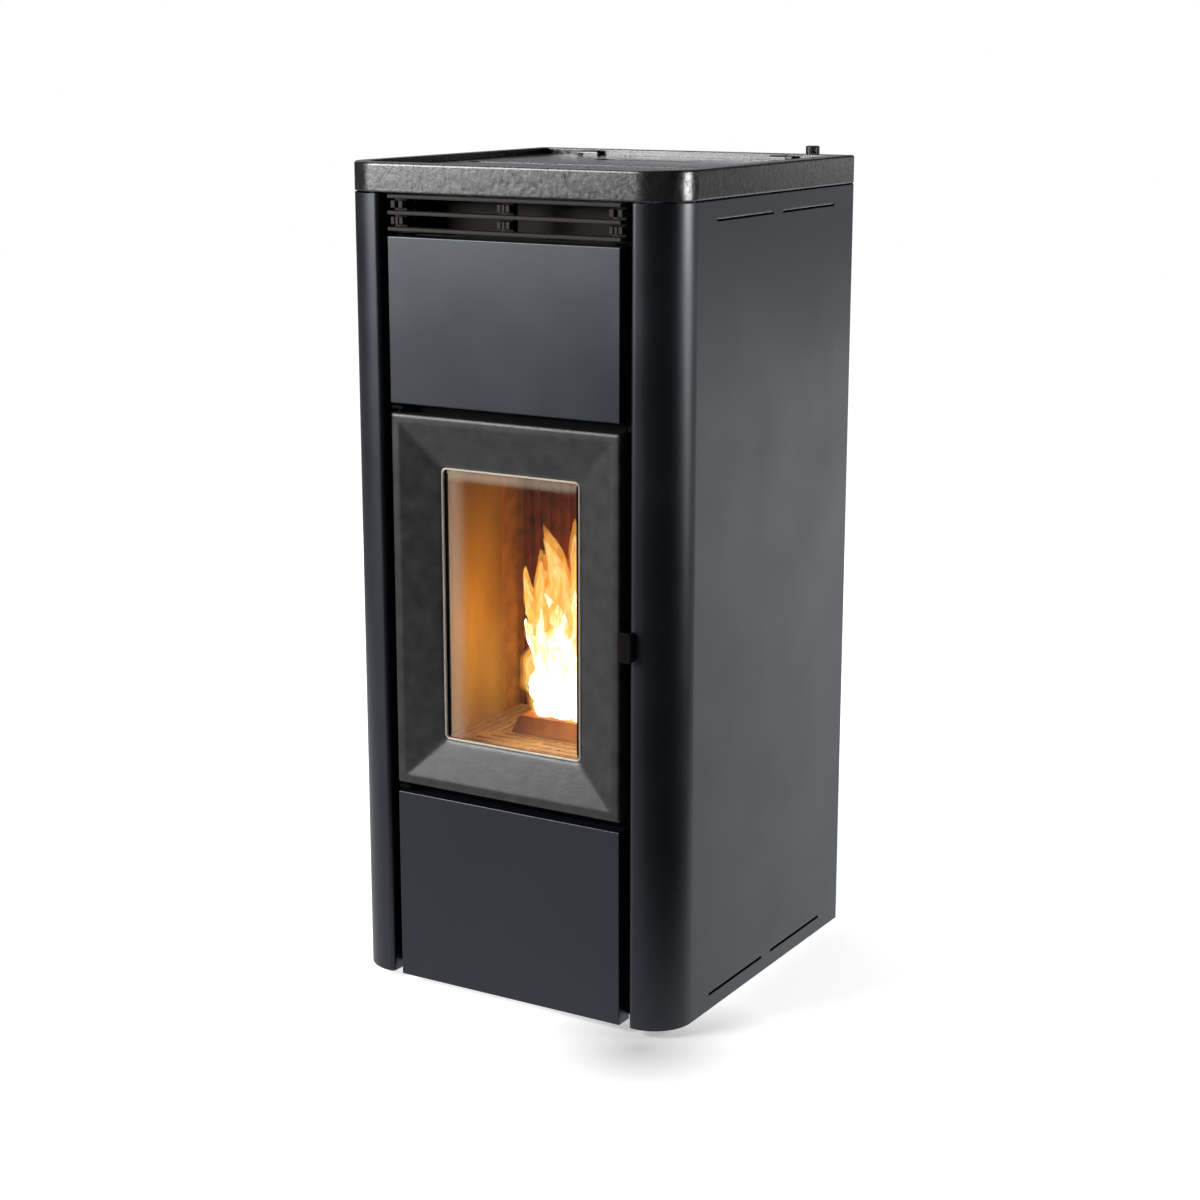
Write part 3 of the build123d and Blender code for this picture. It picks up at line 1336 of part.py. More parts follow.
def reset_button():
    """Reset pin of the safety thermostat, under the screw cap."""
    y = rear_y - rim_w / 2
    return rod_z(cap_x, y, (cover_z1 - 24, cover_z1 + 7), 2.2)


def reset_cap():
    """Fluted screw cap over the reset pin."""
    y = rear_y - rim_w / 2
    z0 = cover_z1 + 0.3
    cap = rod_z(cap_x, y, (z0, z0 + cap_h), cap_r)
    cap = fillet(cap.edges().sort_by(Axis.Z)[-1], 1.8)
    for index in range(16):
        angle = math.radians(index * 22.5)
        flute_x = cap_x + cap_r * math.cos(angle)
        cap -= rod_z(flute_x, y + cap_r * math.sin(angle), (z0 - 1, z0 + cap_h - 2.5), 0.8)
    cap -= rod_z(cap_x, y, (z0 - 1, cover_z1 + 5.3), 5.0 + fit)
    return cap - rod_z(cap_x, y, (cover_z1 + 5, cover_z1 + 8), 3.0)


def mains_inlet():
    """Appliance inlet with its earthed pins and the housing of the rocker switch."""
    y0 = rear_panel_y0 - 14
    y1 = rear_panel_y1 + 1.5
    w = socket_w / 2
    z1 = rocker_z + rocker_h / 2 + 2
    body = block((socket_x - w, socket_x + w), (y0, y1), (socket_z - socket_h / 2, z1))
    flange_z = (socket_z - socket_h / 2 - 4, z1 + 4)
    flange = block((socket_x - w - 4, socket_x + w + 4), (rear_panel_y1, y1), flange_z)
    body = body + fillet(flange.edges().filter_by(Axis.Y), 2.0)
    body -= block((socket_x - 11, socket_x + 11), (y1 - 13, y1 + 1), (socket_z - 7, socket_z + 7))
    for dx, dz in ((-7, -1.5), (0, 2), (7, -1.5)):
        pin_z = (socket_z + dz - 2, socket_z + dz + 2)
        body += block((socket_x + dx - 1, socket_x + dx + 1), (y1 - 14, y1 - 6), pin_z)
    body -= block(
        (socket_x - rocker_w / 2 - clear, socket_x + rocker_w / 2 + clear),
        (y1 - 12, y1 + 1),
        (rocker_z - rocker_h / 2 - clear, rocker_z + rocker_h / 2 + clear),
    )
    body -= rod_x((socket_x - w - 1, socket_x - w / 4), rocker_axis_y(), rocker_z, 1.2 + fit)
    body -= rod_x((socket_x + w / 4, socket_x + w + 1), rocker_axis_y(), rocker_z, 1.2 + fit)
    return body


def rocker_axis_y():
    """Depth of the rocker's pivot."""
    return rear_panel_y1 - 3.0


def rocker_switch():
    """Rocker with a bent face, on two small trunnions."""
    y = rocker_axis_y()
    x0 = socket_x - rocker_w / 2
    points = [
        (y - 3, rocker_z - 4),
        (y + 6.2, rocker_z - rocker_h / 2 + 1.4),
        (y + 4.4, rocker_z),
        (y + 4.0, rocker_z + rocker_h / 2 - 1.4),
        (y - 3, rocker_z + 4),
    ]
    face = make_face(Polyline(*[(0, py, pz) for py, pz in points], close=True))
    body = Pos(x0, 0, 0) * extrude(face, rocker_w, dir=(1, 0, 0))
    return body + rod_x((x0 - 2, x0 + rocker_w + 2), y, rocker_z, 1.2)


# --- Write every node ----------------------------------------------------------------------
def main():
    """Build each piece and write one file for each node."""
    cover = whole_cover()
    right_side = side_panel()
    nodes = {
        "base_tray": base_tray(),
        "side_panel_right": right_side,
        "side_panel_left": mirror(right_side, Plane.YZ),
        "rear_panel": rear_panel(),
        "rear_panel_screws": rear_panel_screws(),
        "lower_front_panel": front_pan(side_z0, lower_z1),
        "upper_front_panel": front_pan(upper_z0, upper_z1),
        "grille_bars": grille_bars(),
        "grille_comb": grille_comb(),
        "warm_air_duct": warm_air_duct(),
        "front_uprights": front_uprights(),
        "rear_posts": rear_posts(),
        "top_cover_front": top_cover_front(cover),
        "top_cover_rear": top_cover_rear(cover),
        "hopper_lid": hopper_lid(),
        "hopper_lid_seal": hopper_lid_seal(),
        "lid_hinges": lid_hinges(),
        "door_frame": door_frame(),
        "door_glass": door_glass(),
        "glass_gasket": glass_gasket(),
        "glass_clips": glass_clips(),
        "door_rope_seal": rope_solid(rope_r),
        "door_hinges": door_hinges(),
        "latch_handle": latch_handle(),
        "latch_cam": latch_cam(),
        "latch_strike": latch_strike(),
        "firebox": firebox(),
        "firebox_front_plate": firebox_front_plate(),
        "side_linings": side_linings(),
        "rear_lining": rear_lining(),
        "baffle_plate": baffle_plate(),
        "exchanger_tubes": exchanger_tubes(),
        "floor_grate": floor_grate(),
        "burn_pot": burn_pot(),
        "ash_pan": ash_pan(),
        "igniter": igniter(),
        "hopper": hopper(),
        "hopper_guard": hopper_guard(),
        "auger_tube": auger_tube(),
        "auger_screw": auger_screw(),
        "auger_gearmotor": auger_gearmotor(),
        "air_riser": air_riser(),
        "blower_housing": blower_housing(),
        "blower_rotor": blower_rotor(),
        "blower_motor": blower_motor(),
        "smoke_fan_housing": smoke_fan_housing(),
        "smoke_fan_impeller": smoke_fan_impeller(),
        "smoke_fan_motor": smoke_fan_motor(),
        "smoke_duct": smoke_duct(),
        "air_intake_pipe": air_intake_pipe(),
        "control_board": control_board(),
        "safety_thermostat": safety_thermostat(),
        "reset_button": reset_button(),
        "reset_cap": reset_cap(),
        "mains_inlet": mains_inlet(),
        "rocker_switch": rocker_switch(),
    }
    names = ("foot_front_left", "foot_front_right", "foot_rear_left", "foot_rear_right")
    for name, place in zip(names, foot_places()):
        nodes[name] = foot(*place)
    for name, shape in nodes.items():
        export_step(shape, f"parts/{name}.step")


main()
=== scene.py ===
# %% [markdown]
# # A pellet stove, dressed for its portrait
# The engineering model of the stove arrives as a fixed frame: every sheet, casting, fan and screw is already
# in place. This lesson gives each surface its finish, adds what a CAD model leaves out (fire, embers, wood
# pellets, the bead round the pane, real screw heads), adds black strips of painted shade in the vent slots,
# round the pane and in the joint under the cover, and then lights and photographs the stove.

# %% Load the frame
import math

import bmesh
import bpy
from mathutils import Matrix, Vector


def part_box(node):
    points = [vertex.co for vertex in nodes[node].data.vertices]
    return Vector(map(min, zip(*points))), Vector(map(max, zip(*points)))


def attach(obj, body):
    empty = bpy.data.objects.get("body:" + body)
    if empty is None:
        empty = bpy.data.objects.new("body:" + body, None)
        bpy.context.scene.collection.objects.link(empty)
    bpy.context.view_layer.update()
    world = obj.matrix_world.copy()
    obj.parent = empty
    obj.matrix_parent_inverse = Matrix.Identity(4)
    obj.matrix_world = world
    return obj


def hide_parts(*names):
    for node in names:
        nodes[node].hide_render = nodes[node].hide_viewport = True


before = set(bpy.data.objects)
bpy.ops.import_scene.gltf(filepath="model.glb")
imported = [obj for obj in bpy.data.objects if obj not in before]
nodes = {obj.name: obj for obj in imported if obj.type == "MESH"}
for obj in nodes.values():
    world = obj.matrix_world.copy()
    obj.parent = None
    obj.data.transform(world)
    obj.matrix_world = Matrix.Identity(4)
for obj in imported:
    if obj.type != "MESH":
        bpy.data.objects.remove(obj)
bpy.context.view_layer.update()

# %% [markdown]
# ## Small helpers for shader trees
# A material is a little tree of nodes. Writing each node out takes several lines, so these helpers keep the
# later cells short. Every pattern reads Object coordinates, which are metres in the frame, so that a grain of
# two millimetres is two millimetres on every piece.

# %% Helpers for shader trees
def srgb(red, green, blue):
    """A colour as a picture editor shows it, 0 to 255, turned into the linear values that shaders use."""
    values = []
    for part in (red, green, blue):
        part = part / 255
        values.append(part / 12.92 if part <= 0.04045 else ((part + 0.055) / 1.055) ** 2.4)
    return (*values, 1.0)


def put(tree, kind, inputs=(), **settings):
    """Add one node, with its settings and its unlinked inputs."""
    node = tree.nodes.new(kind)
    for name, value in settings.items():
        setattr(node, name, value)
    for name, value in dict(inputs).items():
        node.inputs[name].default_value = value
    return node


def object_space(tree, scale=(1, 1, 1), turn=(0, 0, 0), move=(0, 0, 0)):
    """Object coordinates, stretched, turned and moved."""
    coordinates = put(tree, "ShaderNodeTexCoord")
    mapping = put(tree, "ShaderNodeMapping", {"Scale": scale, "Rotation": turn, "Location": move})
    tree.links.new(coordinates.outputs["Object"], mapping.inputs["Vector"])
    return mapping.outputs["Vector"]


def noise(tree, vector, scale, detail=3.0, rough=0.55):
    """Cloudy noise from 0 to 1."""
    node = put(tree, "ShaderNodeTexNoise", {"Scale": scale, "Detail": detail, "Roughness": rough})
    tree.links.new(vector, node.inputs["Vector"])
    return node.outputs["Fac"]


def spread(tree, value, low, high, to_low=0.0, to_high=1.0):
    """Stretch a range of values to another one."""
    limits = {"From Min": low, "From Max": high, "To Min": to_low, "To Max": to_high}
    node = put(tree, "ShaderNodeMapRange", limits)
    tree.links.new(value, node.inputs["Value"])
    return node.outputs["Result"]


def toned(colour, factor, lift=0.0):
    """A fixed colour made darker or lighter."""
    return tuple(min(1.0, part * factor + lift) for part in colour[:3]) + (1.0,)


def maths(tree, operation, *values):
    """A sum, a product or the like. Each value is a number or the output of a node."""
    node = put(tree, "ShaderNodeMath", operation=operation)
    for socket, value in zip(node.inputs, values):
        if isinstance(value, (int, float)):
            socket.default_value = value
        else:
            tree.links.new(value, socket)
    return node.outputs[0]


def split(tree, vector):
    """The X, Y and Z of a vector, as outputs with those names."""
    node = put(tree, "ShaderNodeSeparateXYZ")
    tree.links.new(vector, node.inputs["Vector"])
    return node.outputs


def along(tree, vector, direction):
    """How far a point lies along a direction."""
    node = put(tree, "ShaderNodeVectorMath", operation="DOT_PRODUCT")
    tree.links.new(vector, node.inputs[0])
    node.inputs[1].default_value = direction
    return node.outputs["Value"]


def distance(tree, vector):
    """How far a point lies from the origin."""
    node = put(tree, "ShaderNodeVectorMath", operation="LENGTH")
    tree.links.new(vector, node.inputs[0])
    return node.outputs["Value"]


# A Mix node holds sockets for every kind of value under the same names, so the ones for colours go by number.
FIRST_COLOUR, SECOND_COLOUR, MIXED_COLOUR = 6, 7, 2


def blend(tree, factor, first, second):
    """Mix two colours. Each one is a fixed colour or the output of a node."""
    node = put(tree, "ShaderNodeMix", data_type="RGBA")
    tree.links.new(factor, node.inputs["Factor"])
    for socket, value in ((node.inputs[FIRST_COLOUR], first), (node.inputs[SECOND_COLOUR], second)):
        if isinstance(value, tuple):
            socket.default_value = value
        else:
            tree.links.new(value, socket)
    return node.outputs[MIXED_COLOUR]


def ramp(tree, value, stops):
    """A colour for each of several levels of a value."""
    node = put(tree, "ShaderNodeValToRGB")
    elements = node.color_ramp.elements
    while len(elements) < len(stops):
        elements.new(1.0)
    for element, (place, colour) in zip(elements, stops):
        element.position = place
        element.color = colour
    tree.links.new(value, node.inputs["Fac"])
    return node.outputs["Color"]


def soft_edges(tree, radius):
    """Normals that turn gently over an edge, as a real fold or casting does."""
    return put(tree, "ShaderNodeBevel", {"Radius": radius}, samples=6).outputs["Normal"]


def relief(tree, height, depth, strength=1.0, after=None):
    """Bump of a depth in metres, on top of an earlier bump if there is one."""
    node = put(tree, "ShaderNodeBump", {"Strength": strength, "Distance": depth})
    tree.links.new(height, node.inputs["Height"])
    if after is not None:
        tree.links.new(after, node.inputs["Normal"])
    return node.outputs["Normal"]


def new_finish(name, rough=0.5, metal=0.0, coat=0.0, sheen=0.0):
    """An empty finish: the material, its tree and its main shader."""
    material = bpy.data.materials.new(name)
    material.use_nodes = True
    tree = material.node_tree
    shader = tree.nodes["Principled BSDF"]
    shader.inputs["Roughness"].default_value = rough
    shader.inputs["Metallic"].default_value = metal
    shader.inputs["Coat Weight"].default_value = coat
    shader.inputs["Sheen Weight"].default_value = sheen
    return material, tree, shader


# %% [markdown]
# ## Sheet finishes
# The casing is powder-coated steel. Powder coat isn't smooth: it flows into a fine orange peel of a few
# millimetres, and a very fine grain lies on top. The grain catches the light as a soft sheen, which says
# "painted metal" before any colour does.

# %% Powder coat and other paint
def powder_coat(name, colour, rough, peel=0.00006, grain=0.00002, cloud=0.14, tint=(1, 1, 1, 1), gloss=0.5):
    """Painted sheet: slow clouds of colour, orange peel and fine grain."""
    material, tree, shader = new_finish(name, rough)
    shader.inputs["Specular Tint"].default_value = tint
    shader.inputs["Specular IOR Level"].default_value = gloss
    place = object_space(tree)
    slow = noise(tree, place, 9.0, 2.0)
    darker, lighter = toned(colour, 1 - cloud), toned(colour, 1 + cloud)
    speckle = noise(tree, place, 1500.0, 2.0)
    paint = blend(tree, spread(tree, slow, 0.3, 0.7), darker, lighter)
    paint = blend(tree, spread(tree, speckle, 0.3, 0.75, 0.0, 0.35), paint, lighter)
    tree.links.new(paint, shader.inputs["Base Color"])
    tree.links.new(spread(tree, slow, 0.2, 0.8, rough - 0.04, rough + 0.05), shader.inputs["Roughness"])
    peeled = relief(tree, noise(tree, place, 330.0, 2.0), peel, after=soft_edges(tree, 0.0012))
    tree.links.new(relief(tree, speckle, grain, after=peeled), shader.inputs["Normal"])
    return material


casing_coat = powder_coat("casing_powder_coat", srgb(14, 17, 22), 0.34, tint=(0.86, 0.93, 1.0, 1), gloss=0.56)
black_coat = powder_coat("black_powder_coat", srgb(6, 6, 6), 0.6, gloss=0.05)
rear_coat = powder_coat("rear_panel_coat", srgb(40, 42, 45), 0.45)
duct_coat = powder_coat("duct_paint", srgb(26, 22, 18), 0.6, gloss=0.2)
grille_coat = powder_coat("grille_paint", srgb(48, 46, 42), 0.55, cloud=0.08, gloss=0.12)
lid_coat = powder_coat("hopper_lid_paint", srgb(52, 53, 55), 0.18, peel=0.00002, grain=0.000005, gloss=0.6)
knob_coat = powder_coat("knob_paint", srgb(5, 5, 6), 0.34, peel=0.00003, gloss=0.12)
motor_coat = powder_coat("motor_paint", srgb(92, 96, 100), 0.5)

# %% [markdown]
# ## Castings
# The door and the top cover are sand castings with a thin stove paint. Sand leaves a skin of soft pits about
# a millimetre or two across, and the colour is painted lighter on the tops and darker in the pits: painted
# shade. Two noises make it: a coarse one for the swell of the casting and a fine one for the sand. The cover
# takes a third one, which mottles both its relief and its gloss, so that its reflections break up.

# %% Cast iron
def cast_skin(
    name, dark, light, rough, sand=620.0, depth=0.00022, metal=0.0, gloss=0.5, edge=0.0015, mottle=0.0
):
    """Painted or bare casting: mottled tone, sandy pits and a soft swell."""
    material, tree, shader = new_finish(name, rough, metal)
    shader.inputs["Specular IOR Level"].default_value = gloss
    place = object_space(tree)
    swell = noise(tree, place, 45.0, 3.0)
    sandy = noise(tree, place, sand, 3.0, 0.65)
    tone = blend(tree, spread(tree, swell, 0.3, 0.7), dark, light)
    # The fine sand noise paints the tops lighter and the pits darker: painted shade in the pits.
    tone = blend(tree, spread(tree, sandy, 0.35, 0.75, 0.0, 0.55), tone, light)
    tree.links.new(tone, shader.inputs["Base Color"])
    rougher = spread(tree, sandy, 0.3, 0.8, rough + 0.06, rough - 0.08)
    swelling = relief(tree, swell, depth * 2.0, 0.6, soft_edges(tree, edge))
    if mottle:
        blotch = noise(tree, object_space(tree, (1, 1, 0.8)), 140.0, 2.5, 0.6)
        swelling = relief(tree, blotch, mottle, 1.0, swelling)
        rougher = spread(tree, blotch, 0.3, 0.7, rough - 0.05, rough + 0.09)
    tree.links.new(rougher, shader.inputs["Roughness"])
    tree.links.new(relief(tree, sandy, depth, 0.6, swelling), shader.inputs["Normal"])
    return material


cover_casting = cast_skin(
    "cover_cast_iron", srgb(14, 14, 15), srgb(34, 34, 36), 0.22,
    depth=0.00012, gloss=0.72, edge=0.003, mottle=0.00022,
)
door_casting = cast_skin("door_cast_iron", srgb(15, 15, 15), srgb(42, 42, 41), 0.33, gloss=0.55, edge=0.006)
lining_casting = cast_skin("rear_lining_cast_iron", srgb(92, 34, 14), srgb(150, 66, 24), 0.7, sand=300.0)
fire_wall = cast_skin("browned_firebox_steel", srgb(150, 92, 26), srgb(206, 134, 44), 0.72, sand=260.0)
grate_casting = cast_skin(
    "grate_cast_iron", srgb(160, 112, 54), srgb(204, 156, 88), 0.5, sand=420.0, metal=0.2
)
pot_casting = cast_skin(
    "burn_pot_cast_iron", srgb(150, 78, 20), srgb(184, 108, 34), 0.6, sand=420.0, gloss=0.15
)


# %% [markdown]
# ## Bare metals
# Galvanised sheet shows its zinc crystals as flat patches that reflect a little differently, which a Voronoi
# pattern gives. Turned or drawn steel shows fine lines along the direction of the tool. Cast aluminium is a
# paler, softer casting.

# %% Bare metals
def galvanised(name):
    """Zinc-coated sheet with its crystal patches."""
    material, tree, shader = new_finish(name, 0.42, 0.85)
    place = object_space(tree)
    cells = put(tree, "ShaderNodeTexVoronoi", {"Scale": 110.0, "Randomness": 1.0}, feature="F1")
    tree.links.new(place, cells.inputs["Vector"])
    grey = blend(tree, cells.outputs["Color"], srgb(138, 141, 144), srgb(178, 181, 184))
    tree.links.new(grey, shader.inputs["Base Color"])
    tree.links.new(spread(tree, cells.outputs["Distance"], 0.0, 0.6, 0.36, 0.52), shader.inputs["Roughness"])
    tree.links.new(relief(tree, cells.outputs["Distance"], 0.00004, 0.5), shader.inputs["Normal"])
    return material


def drawn_steel(name, colour, rough, stretch=(30, 900, 900), heat=None):
    """Bright steel with fine lines, and straw-coloured heat stains if it has been hot."""
    material, tree, shader = new_finish(name, rough, 1.0)
    lines = noise(tree, object_space(tree, stretch), 1.0, 2.0)
    cloud = noise(tree, object_space(tree), 26.0, 3.0)
    tone = blend(tree, spread(tree, lines, 0.3, 0.7, 0.0, 0.6), colour, toned(colour, 0.7))
    if heat is not None:
        tone = blend(tree, spread(tree, cloud, 0.4, 0.7, 0.0, 0.8), tone, heat)
    tree.links.new(tone, shader.inputs["Base Color"])
    tree.links.new(spread(tree, lines, 0.3, 0.7, rough - 0.06, rough + 0.1), shader.inputs["Roughness"])
    tree.links.new(relief(tree, lines, 0.00001, 0.6), shader.inputs["Normal"])
    return material


zinc_sheet = galvanised("galvanised_sheet")
bright_steel = drawn_steel("bright_steel", srgb(190, 190, 188), 0.28)
sooty_steel = cast_skin("sooty_steel", srgb(20, 17, 15), srgb(46, 38, 32), 0.8, sand=300.0, gloss=0.2)
hot_steel = drawn_steel("heat_stained_steel", srgb(92, 84, 76), 0.45, (200, 200, 40), srgb(84, 58, 36))
trim_steel = drawn_steel("polished_trim", srgb(240, 230, 214), 0.34, (900, 900, 20))
trim_steel.node_tree.nodes["Principled BSDF"].inputs["Metallic"].default_value = 0.35
cast_aluminium = cast_skin(
    "cast_aluminium", srgb(150, 152, 154), srgb(182, 184, 186), 0.42, sand=700.0, depth=0.0001, metal=0.9
)


# %% [markdown]
# ## Everything that isn't metal
# The fire sees three more materials: the pane, the pressed refractory slabs and woven glass fibre. The pane
# is nearly clear, with a breath of soot low down, a painted reflection in a pale band along its top edge and
# a paler band along its left edge. The slabs are pale and grainy and take a brown bloom from the smoke.
# Rubber, plastic and the circuit board finish the inside.

# %% Glass, slabs, fibre, rubber and plastic
def stove_glass(name):
    """Clear ceramic pane: a breath of soot low down, a painted reflection along the top edge, paler on the
    left.
    """
    material, tree, shader = new_finish(name, 0.04)
    smoke = noise(tree, object_space(tree, (1, 1, 0.4)), 14.0, 4.0)
    axes = split(tree, object_space(tree))
    edges = (
        # A breath of soot low down.
        spread(tree, axes["Z"], 0.346, 0.42, 0.06, 0.0),
        # Painted reflection: a pale band along the top edge.
        spread(tree, axes["Z"], 0.706, 0.714, 0.0, 0.26),
        # Paler along the left edge.
        spread(tree, axes["X"], -0.104, -0.070, 0.36, 0.0),
    )
    edge_bands = 0.0
    for edge in edges:
        edge_bands = maths(tree, "ADD", edge, edge_bands)
    cloudiness, clear_part = spread(tree, smoke, 0.2, 0.8, 0.6, 1.2), 0.015
    tree.links.new(maths(tree, "MULTIPLY_ADD", edge_bands, cloudiness, clear_part), shader.inputs["Alpha"])
    tree.links.new(blend(tree, smoke, srgb(168, 156, 138), srgb(182, 170, 150)), shader.inputs["Base Color"])
    shader.inputs["IOR"].default_value = 1.5
    return material


def refractory(name, pale, smoked):
    """Pressed mineral slab: flakes, a grainy face and a smoke bloom that rises up it."""
    material, tree, shader = new_finish(name, 0.8)
    place = object_space(tree)
    flakes = put(tree, "ShaderNodeTexVoronoi", {"Scale": 320.0}, feature="F1")
    tree.links.new(place, flakes.inputs["Vector"])
    bloom = noise(tree, object_space(tree, (1, 1, 0.35)), 7.0, 3.0)
    tone = blend(tree, spread(tree, bloom, 0.35, 0.7), pale, smoked)
    tone = blend(tree, spread(tree, flakes.outputs["Distance"], 0.1, 0.7, 0.0, 0.3), tone, smoked)
    tree.links.new(tone, shader.inputs["Base Color"])
    tree.links.new(relief(tree, flakes.outputs["Distance"], 0.0003, 0.5), shader.inputs["Normal"])
    return material


def woven_fibre(name, dark, light):
    """Woven rope or tape: crossing waves a millimetre apart."""
    material, tree, shader = new_finish(name, 0.85, sheen=0.3)
    waves = []
    for turn in (0.6, -0.6):
        wave = put(tree, "ShaderNodeTexWave", {"Scale": 260.0, "Distortion": 1.5}, bands_direction="DIAGONAL")
        tree.links.new(object_space(tree, turn=(turn, turn, 0)), wave.inputs["Vector"])
        waves.append(wave.outputs["Fac"])
    cross = maths(tree, "MAXIMUM", *waves)
    tree.links.new(blend(tree, cross, dark, light), shader.inputs["Base Color"])
    tree.links.new(relief(tree, cross, 0.0004, 0.8), shader.inputs["Normal"])
    return material


def moulded(name, colour, rough, grain=900.0):
    """Moulded plastic or rubber with a fine spark-eroded grain."""
    material, tree, shader = new_finish(name, rough)
    place = object_space(tree)
    fine = noise(tree, place, grain, 2.0)
    slow = noise(tree, place, 30.0, 2.0)
    paler = toned(colour, 1.35, 0.004)
    tree.links.new(blend(tree, spread(tree, slow, 0.3, 0.7), colour, paler), shader.inputs["Base Color"])
    tree.links.new(spread(tree, fine, 0.3, 0.7, rough - 0.05, rough + 0.08), shader.inputs["Roughness"])
    tree.links.new(relief(tree, fine, 0.00004, 0.7), shader.inputs["Normal"])
    return material


pane = stove_glass("ceramic_pane")
side_slab = refractory("side_lining_slab", srgb(198, 150, 50), srgb(148, 98, 28))
baffle_slab = refractory("baffle_slab", srgb(170, 140, 104), srgb(70, 52, 40))
fibre_rope = woven_fibre("glass_fibre_rope", srgb(40, 38, 36), srgb(104, 100, 94))
fibre_tape = woven_fibre("glass_fibre_tape", srgb(60, 56, 52), srgb(128, 122, 114))
igniter_ceramic = moulded("igniter_ceramic", srgb(200, 192, 180), 0.6)
soft_rubber = moulded("black_rubber", srgb(24, 24, 24), 0.75)
# Matt black for the strips that stand in for shade: painted shade.
dull_black = moulded("black_painted_shade", srgb(5, 5, 5), 0.9)
dull_black.node_tree.nodes["Principled BSDF"].inputs["Specular IOR Level"].default_value = 0.0
black_plastic = moulded("black_plastic", srgb(22, 22, 23), 0.42)
red_plastic = moulded("red_plastic", srgb(150, 30, 24), 0.4)
board_green = moulded("circuit_board", srgb(28, 78, 50), 0.4, 400.0)

# %% [markdown]
# ## Which finish goes where
# A CAD node keeps its mesh and only gets its material. The table reads like a parts list, grouped by finish.

# %% Assign the finishes
finish_of = {
    casing_coat: ["side_panel_left", "side_panel_right", "lower_front_panel", "upper_front_panel"],
    rear_coat: ["rear_panel"],
    duct_coat: ["warm_air_duct"],
    black_coat: ["front_uprights", "door_hinges", "firebox_front_plate"],
    grille_coat: ["grille_bars", "grille_comb"],
    lid_coat: ["hopper_lid", "lid_hinges"],
    knob_coat: ["latch_handle"],
    motor_coat: ["auger_gearmotor", "blower_motor", "smoke_fan_motor"],
    cover_casting: ["top_cover_front", "top_cover_rear"],
    door_casting: ["door_frame"],
    lining_casting: ["rear_lining"],
    grate_casting: ["floor_grate"],
    pot_casting: ["burn_pot"],
    zinc_sheet: [
        "base_tray", "rear_posts", "hopper", "auger_tube", "air_riser", "blower_housing", "air_intake_pipe",
    ],
    bright_steel: [
        "glass_clips", "latch_cam", "latch_strike", "hopper_guard", "auger_screw", "smoke_fan_impeller",
        "foot_front_left", "foot_front_right", "foot_rear_left", "foot_rear_right", "rear_panel_screws",
    ],
    hot_steel: ["exchanger_tubes", "smoke_duct"],
    fire_wall: ["firebox"],
    sooty_steel: ["ash_pan"],
    cast_aluminium: ["smoke_fan_housing", "blower_rotor"],
    pane: ["door_glass"],
    side_slab: ["side_linings"],
    baffle_slab: ["baffle_plate"],
    fibre_rope: ["door_rope_seal"],
    fibre_tape: ["glass_gasket"],
    igniter_ceramic: ["igniter"],
    soft_rubber: ["hopper_lid_seal"],
    black_plastic: ["reset_cap", "mains_inlet", "rocker_switch", "safety_thermostat"],
    red_plastic: ["reset_button"],
    board_green: ["control_board"],
}
for material, names in finish_of.items():
    for name in names:
        mesh = nodes[name].data
        mesh.materials.clear()
        mesh.materials.append(material)
dressed = {name for names in finish_of.values() for name in names}
print("finished nodes:", len(dressed), "left over:", sorted(set(nodes) - dressed))

# %% [markdown]
# ## Helpers for meshes
# New pieces are built in the frame's own coordinates, so each object stays at the origin and only its mesh
# holds its place.

# %% Helpers for meshes
def placed(name, data):
    """A new object in the scene, at the origin."""
    thing = bpy.data.objects.new(name, data)
    bpy.context.scene.collection.objects.link(thing)
    return thing


def piece(name, mesh, material, body):
    """A finished object that rides on a body of the stove."""
    thing = placed(name, mesh)
    if material is not None:
        mesh.materials.clear()
        mesh.materials.append(material)
    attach(thing, body)
    print(name, "faces:", len(mesh.polygons))
    return thing


def final_mesh(name, holder):
    """The mesh that the modifiers of an object make. The object itself goes."""
    bpy.context.view_layer.update()
    ready = holder.evaluated_get(bpy.context.evaluated_depsgraph_get())
    mesh = bpy.data.meshes.new_from_object(ready)
    bpy.data.objects.remove(holder, do_unlink=True)
    mesh.name = name
    return mesh


def mesh_from(name, points, faces, smooth=True):
    """A mesh whose faces all point outwards."""
    mesh = bpy.data.meshes.new(name)
    mesh.from_pydata(points, [], faces)
    shape = bmesh.new()
    shape.from_mesh(mesh)
    bmesh.ops.remove_doubles(shape, verts=shape.verts, dist=1e-6)
    bmesh.ops.recalc_face_normals(shape, faces=shape.faces)
    shape.to_mesh(mesh)
    shape.free()
    for face in mesh.polygons:
        face.use_smooth = smooth
    return mesh


def merged(parts):
    """One pair of points and faces from several pairs."""
    points, faces = [], []
    for more_points, more_faces in parts:
        faces += [tuple(corner + len(points) for corner in face) for face in more_faces]
        points += more_points
    return points, faces


def skin_over(rings, looped=False):
    """Points and faces of a skin over rings with equal counts: a closed tube, or a loop without ends."""
    count = len(rings[0])
    points = [point for ring in rings for point in ring]
    faces = []
    for level in range(len(rings) if looped else len(rings) - 1):
        low, high = level * count, (level + 1) % len(rings) * count
        for index in range(count):
            after = (index + 1) % count
            faces.append((low + index, low + after, high + after, high + index))
    if not looped:
        faces.append(tuple(reversed(range(count))))
        faces.append(tuple((len(rings) - 1) * count + index for index in range(count)))
    return points, faces


# %% [markdown]
# ## The fire
# A flame has no surface, but a few thin shells, one inside the other, look like one: deep orange outside,
# yellow within, and a core that is nearly white. Each tongue is a tube of rings that narrows upwards and
# sways with two slow waves. Its colour depends on height and on streaks that belong to the flame, never on
# the camera, so it looks right from every side.

